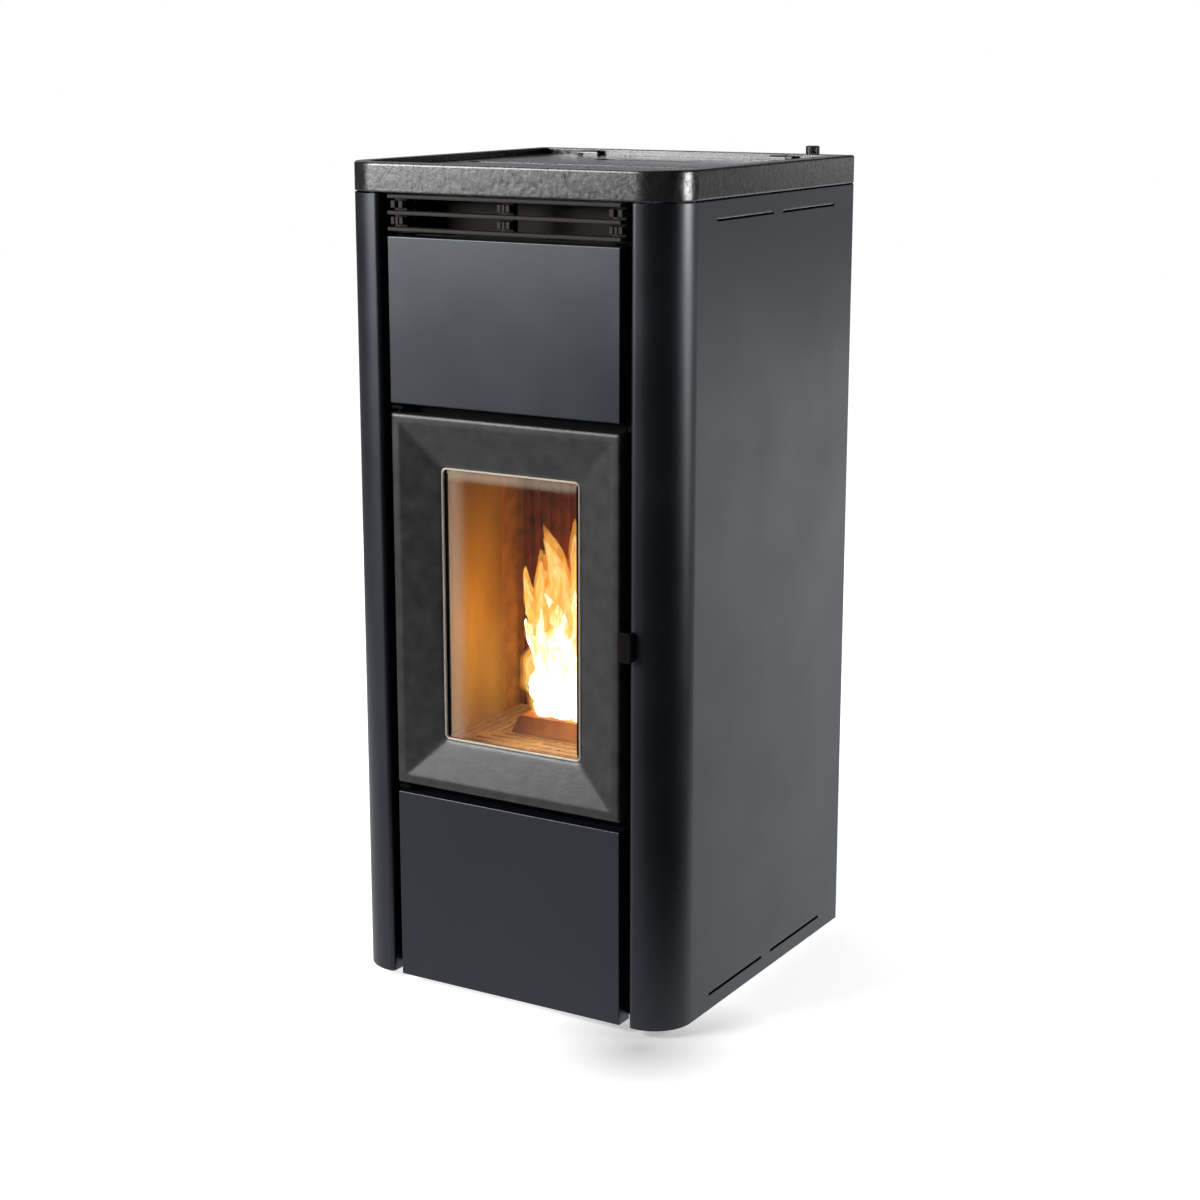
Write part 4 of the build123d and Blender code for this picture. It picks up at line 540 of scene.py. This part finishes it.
# %% Flame material
def flame_finish(name, low, high, pale, strength, cover, top, ragged, foot=1.0):
    """Glowing gas: one colour low down, another at the tip, paler streaks, and fading out towards the tip."""
    material, tree, shader = new_finish(name, 1.0)
    rise = spread(tree, split(tree, object_space(tree))["Z"], 0.37, top)
    streaks = noise(tree, object_space(tree, (1, 1, 0.22)), 110.0, 4.0, 0.6)
    licks = noise(tree, object_space(tree, (1, 1, 0.16), move=(3, 1, 0)), 150.0, 3.0, 0.6)
    colour = blend(tree, spread(tree, licks, 0.42, 0.66, 0.0, 0.9), blend(tree, rise, low, high), pale)
    tree.links.new(colour, shader.inputs["Emission Color"])
    shader.inputs["Base Color"].default_value = (0, 0, 0, 1)
    shader.inputs["Specular IOR Level"].default_value = 0.0
    shader.inputs["Emission Strength"].default_value = strength
    thinner = spread(tree, rise, 0.45, 1.0, cover, cover * 0.12)
    torn = maths(tree, "MULTIPLY", thinner, spread(tree, streaks, 0.36, 0.60, ragged, 1.0))
    clear_foot = maths(tree, "MULTIPLY", torn, spread(tree, rise, 0.05, 0.4, foot, 1.0))
    tree.links.new(clear_foot, shader.inputs["Alpha"])
    return material


flame_skins = [
    flame_finish(
        "flame_outer", srgb(255, 150, 40), srgb(240, 96, 20), srgb(255, 180, 70),
        strength=1.1, cover=0.45, top=0.68, ragged=0.1, foot=0.3,
    ),
    flame_finish(
        "flame_middle", srgb(255, 190, 64), srgb(255, 150, 46), srgb(255, 216, 112),
        strength=1.25, cover=0.75, top=0.67, ragged=0.1, foot=0.3,
    ),
    flame_finish(
        "flame_inner", srgb(255, 216, 104), srgb(255, 190, 80), srgb(255, 244, 190),
        strength=1.45, cover=0.9, top=0.65, ragged=0.2, foot=0.3,
    ),
    flame_finish(
        "flame_core", srgb(255, 250, 226), srgb(255, 226, 140), srgb(255, 255, 250),
        strength=5.0, cover=1.0, top=0.59, ragged=0.5,
    ),
]

# %% [markdown]
# Single tongues that cross each other would show their inner walls. So each shell is made from all the
# tongues at once: the tubes are laid into one another and a voxel remesh welds them into a single skin,
# ragged at the top and closed everywhere else. All the tongues are written out, with no draw of chance, so
# the same fire burns on every run.

# %% Flame tongues
def tongue(foot, height, width, sway, phase, wide, tall):
    """Rings of one tongue: wide and round at the foot, a wavering tip."""
    rings = []
    levels, sides, thinnest = 40, 16, 0.0006
    for level in range(levels + 1):
        t = level / levels
        body = (1 - t) ** 0.62 * (0.74 + 0.50 * math.sin(math.pi * min(1.0, t * 1.5)))
        wobble = 1 + 0.16 * math.sin(15 * t + phase) + 0.09 * math.sin(33 * t + 2.3 * phase)
        radius = max(width * wide * body * wobble, thinnest)
        x = foot[0] + (sway[0] * t ** 1.4 + 0.008 * math.sin(9 * t + phase) * t)
        y = foot[1] + (sway[1] * t ** 1.4 + 0.006 * math.cos(8 * t + 1.7 * phase) * t)
        z = foot[2] + height * tall * t
        ring = []
        for side in range(sides):
            angle = 2 * math.pi * side / sides
            lobes = (
                1 + 0.13 * math.sin(3 * angle + 5 * t + phase) + 0.07 * math.sin(5 * angle - 9 * t + phase)
            )
            across, deep = radius * lobes, 0.8 * radius * lobes
            ring.append((x + across * math.cos(angle), y + deep * math.sin(angle), z))
        rings.append(ring)
    return rings


def welded(name, mesh, voxel):
    """The mesh with its overlapping closed tubes welded into one skin."""
    holder = placed(name + "_source", mesh)
    remesh = holder.modifiers.new("weld", "REMESH")
    remesh.mode = "VOXEL"
    remesh.voxel_size = voxel
    remesh.use_smooth_shade = True
    relax = holder.modifiers.new("relax", "SMOOTH")
    relax.iterations = 3
    return final_mesh(name, holder)


# Each row: the foot, the height, the width, the sway of the tip and the phase of the waves.
tongues = [
    ((-0.020, -0.078, 0.366), 0.272, 0.032, (-0.028, 0.004), 0.4),
    ((-0.030, -0.086, 0.366), 0.212, 0.029, (-0.044, 0.002), 3.7),
    ((-0.010, -0.084, 0.366), 0.250, 0.030, (-0.014, 0.002), 1.9),
    ((0.004, -0.072, 0.366), 0.285, 0.036, (-0.002, 0.006), 2.1),
    ((0.026, -0.074, 0.366), 0.255, 0.034, (0.014, 0.004), 5.2),
    ((0.036, -0.082, 0.366), 0.200, 0.026, (0.032, -0.004), 1.3),
    ((0.000, -0.056, 0.366), 0.240, 0.034, (-0.004, 0.010), 2.9),
    ((-0.006, -0.096, 0.366), 0.175, 0.034, (-0.010, -0.006), 4.4),
    ((-0.034, -0.064, 0.366), 0.140, 0.022, (-0.014, 0.004), 0.9),
    ((0.030, -0.098, 0.366), 0.150, 0.024, (0.010, -0.004), 3.1),
    ((-0.032, -0.098, 0.366), 0.125, 0.022, (-0.016, -0.002), 5.9),
    ((-0.026, -0.080, 0.366), 0.237, 0.028, (-0.034, 0.003), 5.5),
    ((-0.012, -0.076, 0.366), 0.258, 0.031, (-0.020, 0.004), 0.7),
    ((0.012, -0.080, 0.366), 0.266, 0.032, (0.004, 0.004), 4.9),
    ((0.020, -0.070, 0.366), 0.232, 0.030, (0.020, 0.006), 2.4),
    ((-0.064, -0.085, 0.476), 0.034, 0.006, (-0.006, 0.000), 2.6),
    ((-0.055, -0.086, 0.446), 0.028, 0.005, (0.004, 0.000), 0.2),
]
shell_wide, shell_tall, weld_voxel = (1.24, 1.10, 0.98, 0.80), (0.97, 0.97, 0.90, 0.62), 0.0026
for index, (skin, wide, tall) in enumerate(zip(flame_skins, shell_wide, shell_tall)):
    name = f"flame_shell_{index + 1}"
    points, faces = merged(skin_over(tongue(*row, wide, tall)) for row in tongues)
    piece(name, welded(name, mesh_from("tongue_tubes", points, faces), weld_voxel), skin, "pot")

# %% [markdown]
# ## Pellets and embers, scattered by a rule
# Hundreds of small sticks lie on a surface at random: a job for Geometry Nodes. The tree scatters points on
# a heap's surface, puts one pellet on each with a random turn, makes them real and gives them their material.
# Its sizes are named inputs, and the seed is one of them, so that the heap never changes between runs. The
# first function holds what this tree shares with the one that places the screw heads further down.

# %% A tree that scatters sticks
def copying_tree(name, inputs):
    """A tree that puts copies on points, makes them real and gives them the material called Finish."""
    tree = bpy.data.node_groups.new(name, "GeometryNodeTree")
    face = tree.interface
    face.new_socket("Geometry", in_out="INPUT", socket_type="NodeSocketGeometry")
    for label, kind, value in (*inputs, ("Finish", "NodeSocketMaterial", None)):
        socket = face.new_socket(label, in_out="INPUT", socket_type=kind)
        if value is not None:
            socket.default_value = value
    face.new_socket("Geometry", in_out="OUTPUT", socket_type="NodeSocketGeometry")
    start = put(tree, "NodeGroupInput")
    place = put(tree, "GeometryNodeInstanceOnPoints")
    real = put(tree, "GeometryNodeRealizeInstances")
    paint = put(tree, "GeometryNodeSetMaterial")
    finish = put(tree, "NodeGroupOutput")
    tree.links.new(place.outputs["Instances"], real.inputs["Geometry"])
    tree.links.new(real.outputs["Geometry"], paint.inputs["Geometry"])
    tree.links.new(start.outputs["Finish"], paint.inputs["Material"])
    tree.links.new(paint.outputs["Geometry"], finish.inputs["Geometry"])
    return tree, start, place


def scatter_tree(name):
    """Scatter short rods over a mesh, with named inputs for their size, number and seed."""
    tree, start, place = copying_tree(name, (
        ("Rod Radius", "NodeSocketFloat", 0.003),
        ("Rod Length", "NodeSocketFloat", 0.016),
        ("Density", "NodeSocketFloat", 20000.0),
        ("Seed", "NodeSocketInt", 7),
    ))
    points = put(tree, "GeometryNodeDistributePointsOnFaces", distribute_method="RANDOM")
    rod = put(tree, "GeometryNodeMeshCylinder", {"Vertices": 8})
    # The first two inputs are the least and the greatest turn, then come those of a plain number.
    turn = put(tree, "FunctionNodeRandomValue", data_type="FLOAT_VECTOR")
    turn.inputs[0].default_value = (1.05, 0.0, 0.0)
    turn.inputs[1].default_value = (2.1, 0.0, 6.283)
    size = put(tree, "FunctionNodeRandomValue", data_type="FLOAT")
    size.inputs[2].default_value = 0.7
    size.inputs[3].default_value = 1.15
    wires = (
        (start.outputs["Geometry"], points.inputs["Mesh"]),
        (start.outputs["Density"], points.inputs["Density"]),
        (start.outputs["Seed"], points.inputs["Seed"]),
        (start.outputs["Rod Radius"], rod.inputs["Radius"]),
        (start.outputs["Rod Length"], rod.inputs["Depth"]),
        (start.outputs["Seed"], turn.inputs["Seed"]),
        (start.outputs["Seed"], size.inputs["Seed"]),
        (points.outputs["Points"], place.inputs["Points"]),
        (rod.outputs["Mesh"], place.inputs["Instance"]),
        (turn.outputs["Value"], place.inputs["Rotation"]),
        (size.outputs[1], place.inputs["Scale"]),
    )
    for source, target in wires:
        tree.links.new(source, target)
    return tree


def grown(name, mesh, tree, values, body):
    """Run a geometry tree on a mesh and keep the result as a plain piece."""
    holder = placed(name + "_source", mesh)
    modifier = holder.modifiers.new("rule", "NODES")
    modifier.node_group = tree
    sockets = {item.name: item.identifier for item in tree.interface.items_tree if item.in_out == "INPUT"}
    for label, value in values.items():
        modifier[sockets[label]] = value
    return piece(name, final_mesh(name, holder), None, body)


def heap_mesh(name, low, high, base, rise, steps=16):
    """A gently mounded sheet between two corners."""
    points, faces = [], []
    for row in range(steps + 1):
        for column in range(steps + 1):
            u, v = column / steps, row / steps
            x = low[0] + (high[0] - low[0]) * u
            y = low[1] + (high[1] - low[1]) * v
            swell = math.sin(math.pi * u) * math.sin(math.pi * v)
            points.append((x, y, base + rise * swell))
    for row in range(steps):
        for column in range(steps):
            first = row * (steps + 1) + column
            faces.append((first, first + 1, first + steps + 2, first + steps + 1))
    mesh = bpy.data.meshes.new(name)
    mesh.from_pydata(points, [], faces)
    return mesh


# %% [markdown]
# Wood pellets are pale and streaked along their length. Embers are the same sticks burnt black, with an
# orange glow in the cracks between them.

# %% Pellet and ember finishes
def pellet_finish(name):
    """Pressed sawdust: pale, slightly shiny, with darker bits."""
    material, tree, shader = new_finish(name, 0.5)
    place = object_space(tree)
    bits = noise(tree, place, 420.0, 4.0)
    slow = noise(tree, place, 60.0, 2.0)
    tone = blend(tree, spread(tree, bits, 0.3, 0.7), srgb(152, 112, 66), srgb(206, 170, 118))
    tone = blend(tree, spread(tree, slow, 0.3, 0.7, 0.0, 0.5), tone, srgb(172, 126, 76))
    tree.links.new(tone, shader.inputs["Base Color"])
    tree.links.new(relief(tree, bits, 0.0003, 0.6), shader.inputs["Normal"])
    return material


def ember_finish(name):
    """Charred wood that glows where it is hottest."""
    material, tree, shader = new_finish(name, 0.9)
    heat = noise(tree, object_space(tree), 95.0, 4.0)
    charred = blend(tree, spread(tree, heat, 0.3, 0.7), srgb(26, 18, 14), srgb(60, 36, 24))
    tree.links.new(charred, shader.inputs["Base Color"])
    stops = (
        (0.40, (0, 0, 0, 1)),
        (0.52, srgb(230, 60, 8)),
        (0.66, srgb(255, 150, 40)),
        (0.8, srgb(255, 230, 150)),
    )
    tree.links.new(ramp(tree, heat, stops), shader.inputs["Emission Color"])
    shader.inputs["Emission Strength"].default_value = 2.2
    return material


sticks = scatter_tree("scattered_sticks")
wood_pellets = pellet_finish("wood_pellets")
embers = ember_finish("embers")

heap = heap_mesh("pellet_heap_sheet", (-0.188, 0.070), (0.188, 0.211), base=0.955, rise=0.020)
heap_values = {
    "Rod Radius": 0.003, "Rod Length": 0.017, "Density": 26000.0, "Seed": 11, "Finish": wood_pellets,
}
grown("hopper_pellets", heap, sticks, heap_values, "stove")

bed = heap_mesh("ember_bed_sheet", (-0.042, -0.118), (0.042, -0.034), base=0.352, rise=0.010, steps=8)
bed_values = {"Rod Radius": 0.003, "Rod Length": 0.013, "Density": 42000.0, "Seed": 5, "Finish": embers}
grown("burning_pellets", bed, sticks, bed_values, "pot")

# %% [markdown]
# ## The bright line round the pane
# Between the casting and the pane sits a thin polished bead. From the camera it shows as a bright line down
# the left of the opening and along its bottom. A rounded rectangle with a small half-round section is swept
# round the opening. A second, flat black ring lies just in front of the pane: painted shade, the dark line
# of shadow inside the bead.

# %% Trim bead
def rounded_path(half_x, low_z, high_z, radius, steps=8):
    """Points round a rounded rectangle that stands across the door."""
    middle = (low_z + high_z) / 2
    half_z = (high_z - low_z) / 2
    corners = ((1, 1, 0), (-1, 1, 90), (-1, -1, 180), (1, -1, 270))
    path = []
    for sx, sz, start in corners:
        cx, cz = sx * (half_x - radius), middle + sz * (half_z - radius)
        for step in range(steps + 1):
            angle = math.radians(start + 90 * step / steps)
            out_x, out_z = math.cos(angle), math.sin(angle)
            path.append((cx + radius * out_x, cz + radius * out_z, out_x, out_z))
    return path


def trim_ring(name, half_x, low_z, high_z, radius, front, back, wide, level=1.0):
    """A thin flat ring with a rounded front edge. level is what its level runs keep of its width."""
    rings = []
    for x, z, out_x, out_z in rounded_path(half_x, low_z, high_z, radius):
        thick = wide * (level + (1 - level) * abs(out_x))
        shoulder = front + thick / 2
        section = ((0, back), (thick, back), (thick, shoulder), (thick / 2, front), (0, shoulder))
        rings.append([(x - out_x * inward, y, z - out_z * inward) for inward, y in section])
    points, faces = skin_over(rings, looped=True)
    return mesh_from(name, points, faces, smooth=False)


bead = trim_ring(
    "pane_trim", half_x=0.1058, low_z=0.3562, high_z=0.7248, radius=0.0078,
    front=-0.2352, back=-0.2308, wide=0.0024,
)
piece("pane_trim", bead, trim_steel, "door")
pane_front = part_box("door_glass")[0].y
# A black ring just in front of the pane: painted shade, the dark shadow line inside the bead.
shadow = trim_ring(
    "pane_seal_edge", half_x=0.1034, low_z=0.3586, high_z=0.7224, radius=0.0056,
    front=pane_front - 0.0012, back=pane_front - 0.0002, wide=0.0052, level=0.1,
)
piece("pane_seal_edge", shadow, black_coat, "door")
print("pane front at y =", round(pane_front, 5))

# %% [markdown]
# ## Painted shade in the vents and under the cover
# Thin black strips cover the lips of the long vent slots in the sides, and a black block fills each slot
# behind them: painted shade, so that the slots read dark. A black strip like a foam tape fills the joint
# between the side panels and the cover, a little behind the face: painted shade that keeps the joint dark.
# It begins behind the rounded front corner.

# %% Painted shade in the vents and the cover joint
def block(first, second):
    """Points and faces of a box between two opposite corners."""
    xs, ys, zs = (sorted(pair) for pair in zip(first, second))
    points = [(x, y, z) for x in xs for y in ys for z in zs]
    return points, [(0, 1, 3, 2), (4, 6, 7, 5), (0, 4, 5, 1), (2, 3, 7, 6), (0, 2, 6, 4), (1, 5, 7, 3)]


slot_long, slot_high, shade_thick, sheet_thick, overlap = 0.154, 0.004, 0.0004, 0.0015, 0.001
slot_above_base, slot_below_top, slot_from_rear, slot_pitch = 0.022, 0.0236, 0.061, 0.1805
shade_tape_inset, shade_tape_depth, past_corner, shade_tape_short = 0.0004, 0.0030, 0.055, 0.001
shade_tape_low, shade_tape_high = 0.0001, 0.0023
for side, hand in ((-1, "left"), (1, "right")):
    panel_low, panel_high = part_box(f"side_panel_{hand}")
    face_x = side * max(abs(panel_low.x), abs(panel_high.x))
    deep_x, shade_back_x = face_x - side * (sheet_thick + overlap), face_x - side * (sheet_thick + shade_thick)
    strips = []
    for middle in (panel_low.z + slot_above_base, panel_high.z - slot_below_top):
        base, top = middle - slot_high / 2, middle + slot_high / 2
        for index in range(2):
            rear = panel_high.y - slot_from_rear - index * slot_pitch
            front = rear - slot_long
            # Black strips over the slot lips and a black block behind the slot: painted shade.
            strips += [
                block((face_x, front, base), (deep_x, rear, base + shade_thick)),
                block((face_x, front, top - shade_thick), (deep_x, rear, top)),
                block((shade_back_x, front - overlap, base - overlap), (deep_x, rear + overlap, top + overlap)),
            ]
    slot_shades = mesh_from(f"vent_trim_{hand}", *merged(strips), smooth=False)
    piece(f"vent_trim_{hand}", slot_shades, dull_black, "stove")
    # A black strip in the joint under the cover, shaped like a foam tape: painted shade that keeps the joint
    # dark.
    points, faces = block(
        (face_x - side * shade_tape_depth, panel_low.y + past_corner, panel_high.z + shade_tape_low),
        (face_x - side * shade_tape_inset, panel_high.y - shade_tape_short, panel_high.z + shade_tape_high),
    )
    tape = mesh_from(f"cover_tape_{hand}", points, faces, smooth=False)
    piece(f"cover_tape_{hand}", tape, dull_black, "stove")

# %% [markdown]
# ## Screw heads
# The rear panel is held by ten pan-head screws with a cross recess. One head is modelled with a turned
# profile and a cross sunk in it, and a small tree puts a copy on each place.

# %% Screw head
def screw_head(radius, height):
    """A low domed head with a cross recess, its axis along Y, its seat at y = 0."""
    shape = bmesh.new()
    levels = ((1.0, 0.0), (1.0, 0.35), (0.92, 0.7), (0.72, 0.93), (0.4, 1.0))
    sides = 24
    rings = []
    for reach, rise in levels:
        ring = []
        for side in range(sides):
            angle = 2 * math.pi * side / sides
            x, z = radius * reach * math.cos(angle), radius * reach * math.sin(angle)
            ring.append(shape.verts.new((x, height * rise, z)))
        rings.append(ring)
    for low, high in zip(rings, rings[1:]):
        for side in range(sides):
            after = (side + 1) % sides
            shape.faces.new((low[side], low[after], high[after], high[side]))
    shape.faces.new(rings[0])
    arm, wide, taper, depth = radius * 0.36, radius * 0.09, 0.6, 0.35
    corner = [(arm, wide), (wide, wide), (wide, arm)]
    cross, deep = [], []
    for _ in range(4):
        for x, z in corner:
            cross.append(shape.verts.new((x, height, z)))
            deep.append(shape.verts.new((x * taper, height * depth, z * taper)))
        corner = [(-z, x) for x, z in corner]
    for index in range(len(cross)):
        after = (index + 1) % len(cross)
        shape.faces.new((cross[index], cross[after], deep[after], deep[index]))
    shape.faces.new(deep)
    rim = set(rings[-1]) | set(cross)
    top = [edge for edge in shape.edges if edge.is_boundary and rim.issuperset(edge.verts)]
    bmesh.ops.bridge_loops(shape, edges=top)
    bmesh.ops.recalc_face_normals(shape, faces=shape.faces)
    mesh = bpy.data.meshes.new("screw_head")
    shape.to_mesh(mesh)
    shape.free()
    return mesh


def place_tree(name):
    """Put one object on every point of a mesh."""
    inputs = (("Part", "NodeSocketObject", None), ("Scale", "NodeSocketFloat", None))
    tree, start, place = copying_tree(name, inputs)
    part = put(tree, "GeometryNodeObjectInfo", transform_space="ORIGINAL")
    wires = (
        (start.outputs["Geometry"], place.inputs["Points"]),
        (start.outputs["Part"], part.inputs["Object"]),
        (part.outputs["Geometry"], place.inputs["Instance"]),
        (start.outputs["Scale"], place.inputs["Scale"]),
    )
    for source, target in wires:
        tree.links.new(source, target)
    return tree


head_radius, head_height, head_sunk, gaps = 0.004, 0.0019, 0.002, 4
head = placed("screw_head_model", screw_head(head_radius, head_height))
screw_low, screw_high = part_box("rear_panel_screws")
screw_x = screw_high.x - head_radius
screw_span = screw_high.z - screw_low.z - 2 * head_radius
screw_heights = [screw_low.z + head_radius + step * screw_span / gaps for step in range(gaps + 1)]
places = [(side * screw_x, screw_high.y - head_sunk, z) for z in screw_heights for side in (-1, 1)]
seats = bpy.data.meshes.new("screw_seats")
seats.from_pydata(places, [], [])
screw_values = {"Part": head, "Scale": 1.0, "Finish": bright_steel}
screws = grown("panel_screws", seats, place_tree("placed_parts"), screw_values, "stove")
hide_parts("rear_panel_screws")
bpy.data.objects.remove(head, do_unlink=True)

# %% [markdown]
# ## Camera
# The photograph looks down on the lid from a little above it. The place, the lens and the direction come
# from the perspective of the stove's edges. The camera is tilted down and its lens isn't shifted, so that the
# same lens also frames the stove from every other side.

# %% Camera
lens = bpy.data.cameras.new("camera")
lens.lens = 70.121
lens.sensor_width = 36.0
camera = placed("camera", lens)
camera.location = (1.607569, -2.708381, 1.260)
camera.rotation_euler = (math.radians(76.642814), 0, 0.53682)
bpy.context.scene.camera = camera
print("camera at", tuple(round(part, 3) for part in camera.location), "lens", round(lens.lens, 1), "mm")

# %% [markdown]
# ## Light and ground
# The casing's dark paint shows mostly what it reflects: a big soft light from the front left, a weaker one
# at the right edge, and a dark room where the photographer stands, which leaves the rounded corner nearly
# black. The world is that dark room. It has one pale patch behind the lid and one just below the horizon,
# which shows only past the edge of the floor. Rays from the camera see plain white instead.

# %% World
world = bpy.data.worlds.new("studio")
bpy.context.scene.world = world
world.use_nodes = True
sky = world.node_tree
sky.nodes.clear()
dark_room, low_patch, lid_patch = (0.04, 0.04, 0.042, 1), (0.48, 0.50, 0.53, 1), (0.48, 0.49, 0.51, 1)
direction = put(sky, "ShaderNodeTexCoord").outputs["Generated"]
height = split(sky, direction)["Z"]
toward_low = spread(sky, along(sky, direction, (0.42, 0.72, -0.55)), 0.8, 1.0)
below = spread(sky, height, -0.14, -0.07, 1.0, 0.0)
room = blend(sky, maths(sky, "MULTIPLY", toward_low, below), dark_room, low_patch)
toward_lid = spread(sky, along(sky, direction, (-0.51, 0.81, 0.28)), 0.8, 0.97)
above = spread(sky, height, 0.04, 0.14)
room = blend(sky, maths(sky, "MULTIPLY", toward_lid, above), room, lid_patch)
rays = put(sky, "ShaderNodeLightPath").outputs
background = put(sky, "ShaderNodeBackground", {"Strength": 1.0})
sky.links.new(blend(sky, rays["Is Camera Ray"], room, (1, 1, 1, 1)), background.inputs["Color"])
output = put(sky, "ShaderNodeOutputWorld")
sky.links.new(background.outputs["Background"], output.inputs["Surface"])
print("world nodes:", len(sky.nodes))


# %% Lamps
def soft_light(name, place, target, size, power, mirrored=True):
    """A soft light that faces a target. Glossy paint shows it as a highlight only where it is mirrored."""
    lamp = bpy.data.lights.new(name, "AREA")
    lamp.shape = "RECTANGLE"
    lamp.size, lamp.size_y = size
    lamp.energy = power
    thing = placed(name, lamp)
    thing.location = place
    thing.rotation_euler = (Vector(target) - Vector(place)).to_track_quat("-Z", "Y").to_euler()
    thing.visible_camera = False
    thing.visible_glossy = mirrored
    return thing


soft_light("front_left_softbox", (-2.86, -3.0, 1.95), (0.0, -0.25, 0.9), (1.5, 2.2), 104.0)
soft_light("right_edge_strip", (2.3, 0.72, 0.85), (0.25, -0.2, 0.8), (0.70, 1.3), 11.0)
soft_light("cover_corner_strip", (2.3, 0.48, 1.05), (0.25, -0.2, 1.1), (0.80, 0.24), 18.0)
soft_light("right_rear_card", (0.80, 1.40, 1.13), (0.25, 0.2, 1.08), (0.34, 0.26), 0.3)
soft_light("raised_softbox", (-1.30, -2.1, 1.52), (-0.05, -0.25, 0.45), (1.1, 0.6), 46.0)
soft_light("overhead_softbox", (-0.7, 0.2, 2.7), (0, 0, 0.8), (1.2, 1.2), 10.0)
soft_light("left_rear_softbox", (-1.6, 2.4, 0.8), (-0.25, 0, 0.6), (1.2, 2.0), 12.0, mirrored=False)

# %% [markdown]
# The fire lights its own room. The glowing shells are small and thin, so a warm lamp in the middle of them
# carries most of that light, without the grain that a small glowing mesh gives.

# %% Firelight
fire_lamp = bpy.data.lights.new("firelight", "POINT")
fire_lamp.energy = 1.4
fire_lamp.color = (1.0, 0.55, 0.10)
fire_lamp.shadow_soft_size = 0.05
placed("firelight", fire_lamp).location = (-0.005, -0.085, 0.50)

# %% [markdown]
# The floor is a plain pale sheet. It receives the stove's shadow, and a little light of its own for camera
# rays lifts it to the white of the background. The photograph has a soft spot of shadow under the near
# corner, so the floor is darker there. Glossy rays see another floor: it glows behind the stove and fades to
# the right and far to the left, which gives the side panel much of its pale sheen.

# %% Floor
reach = 9
ground_mesh = bpy.data.meshes.new("floor")
ground_corners = [(-reach, -reach, 0), (reach, -reach, 0), (reach, reach, 0), (-reach, reach, 0)]
ground_mesh.from_pydata(ground_corners, [], [(0, 1, 2, 3)])
ground = placed("floor", ground_mesh)
ground_paint, tree, shader = new_finish("pale_floor", 0.9)
shader.inputs["Specular IOR Level"].default_value = 0.0
white, black, cool_white = (1, 1, 1, 1), (0.0, 0.0, 0.0, 1), (0.94, 0.97, 1.0, 1)
spot_grey, floor_grey, spot_radius = (0.42, 0.42, 0.42, 1), (0.86, 0.86, 0.86, 1), 0.20
rays = put(tree, "ShaderNodeLightPath").outputs
place = object_space(tree)
from_spot = distance(tree, object_space(tree, move=(-0.22, 0.275, 0)))

# What the camera sees: a pale sheet with the spot, and the light that lifts it to white.
pale = blend(tree, spread(tree, from_spot, 0.0, spot_radius), spot_grey, floor_grey)
lifted = spread(tree, distance(tree, place), 0.45, 1.6, 0.72, 1.0)
lifted = maths(tree, "MULTIPLY", lifted, spread(tree, from_spot, 0.0, spot_radius, 0.36, 1.0))
lifted = maths(tree, "MULTIPLY", lifted, rays["Is Camera Ray"])

# What the paint mirrors: a glow that grows towards the back, ends beside the stove and dims far to the left.
glow = spread(tree, along(tree, place, (0.50, 0.86, 0.0)), -1.0, 4.0, 0.70, 1.75)
beside = spread(tree, along(tree, place, (0.86, -0.50, 0.0)), 0.25, 0.8, 1.0, 0.0)
leftward = spread(tree, along(tree, place, (-0.90, 0.44, 0.0)), 1.4, 2.4, 1.0, 0.35)
glow = maths(tree, "MULTIPLY", maths(tree, "MULTIPLY", glow, beside), leftward)

tree.links.new(blend(tree, rays["Is Glossy Ray"], pale, black), shader.inputs["Base Color"])
tree.links.new(blend(tree, rays["Is Glossy Ray"], white, cool_white), shader.inputs["Emission Color"])
strength = maths(tree, "MULTIPLY_ADD", glow, rays["Is Glossy Ray"], lifted)
tree.links.new(strength, shader.inputs["Emission Strength"])
ground_mesh.materials.append(ground_paint)
print("floor nodes:", len(tree.nodes))

# %% [markdown]
# ## View transform
# The picture uses the Standard view transform.

# %% View transform
bpy.context.scene.view_settings.view_transform = "Standard"
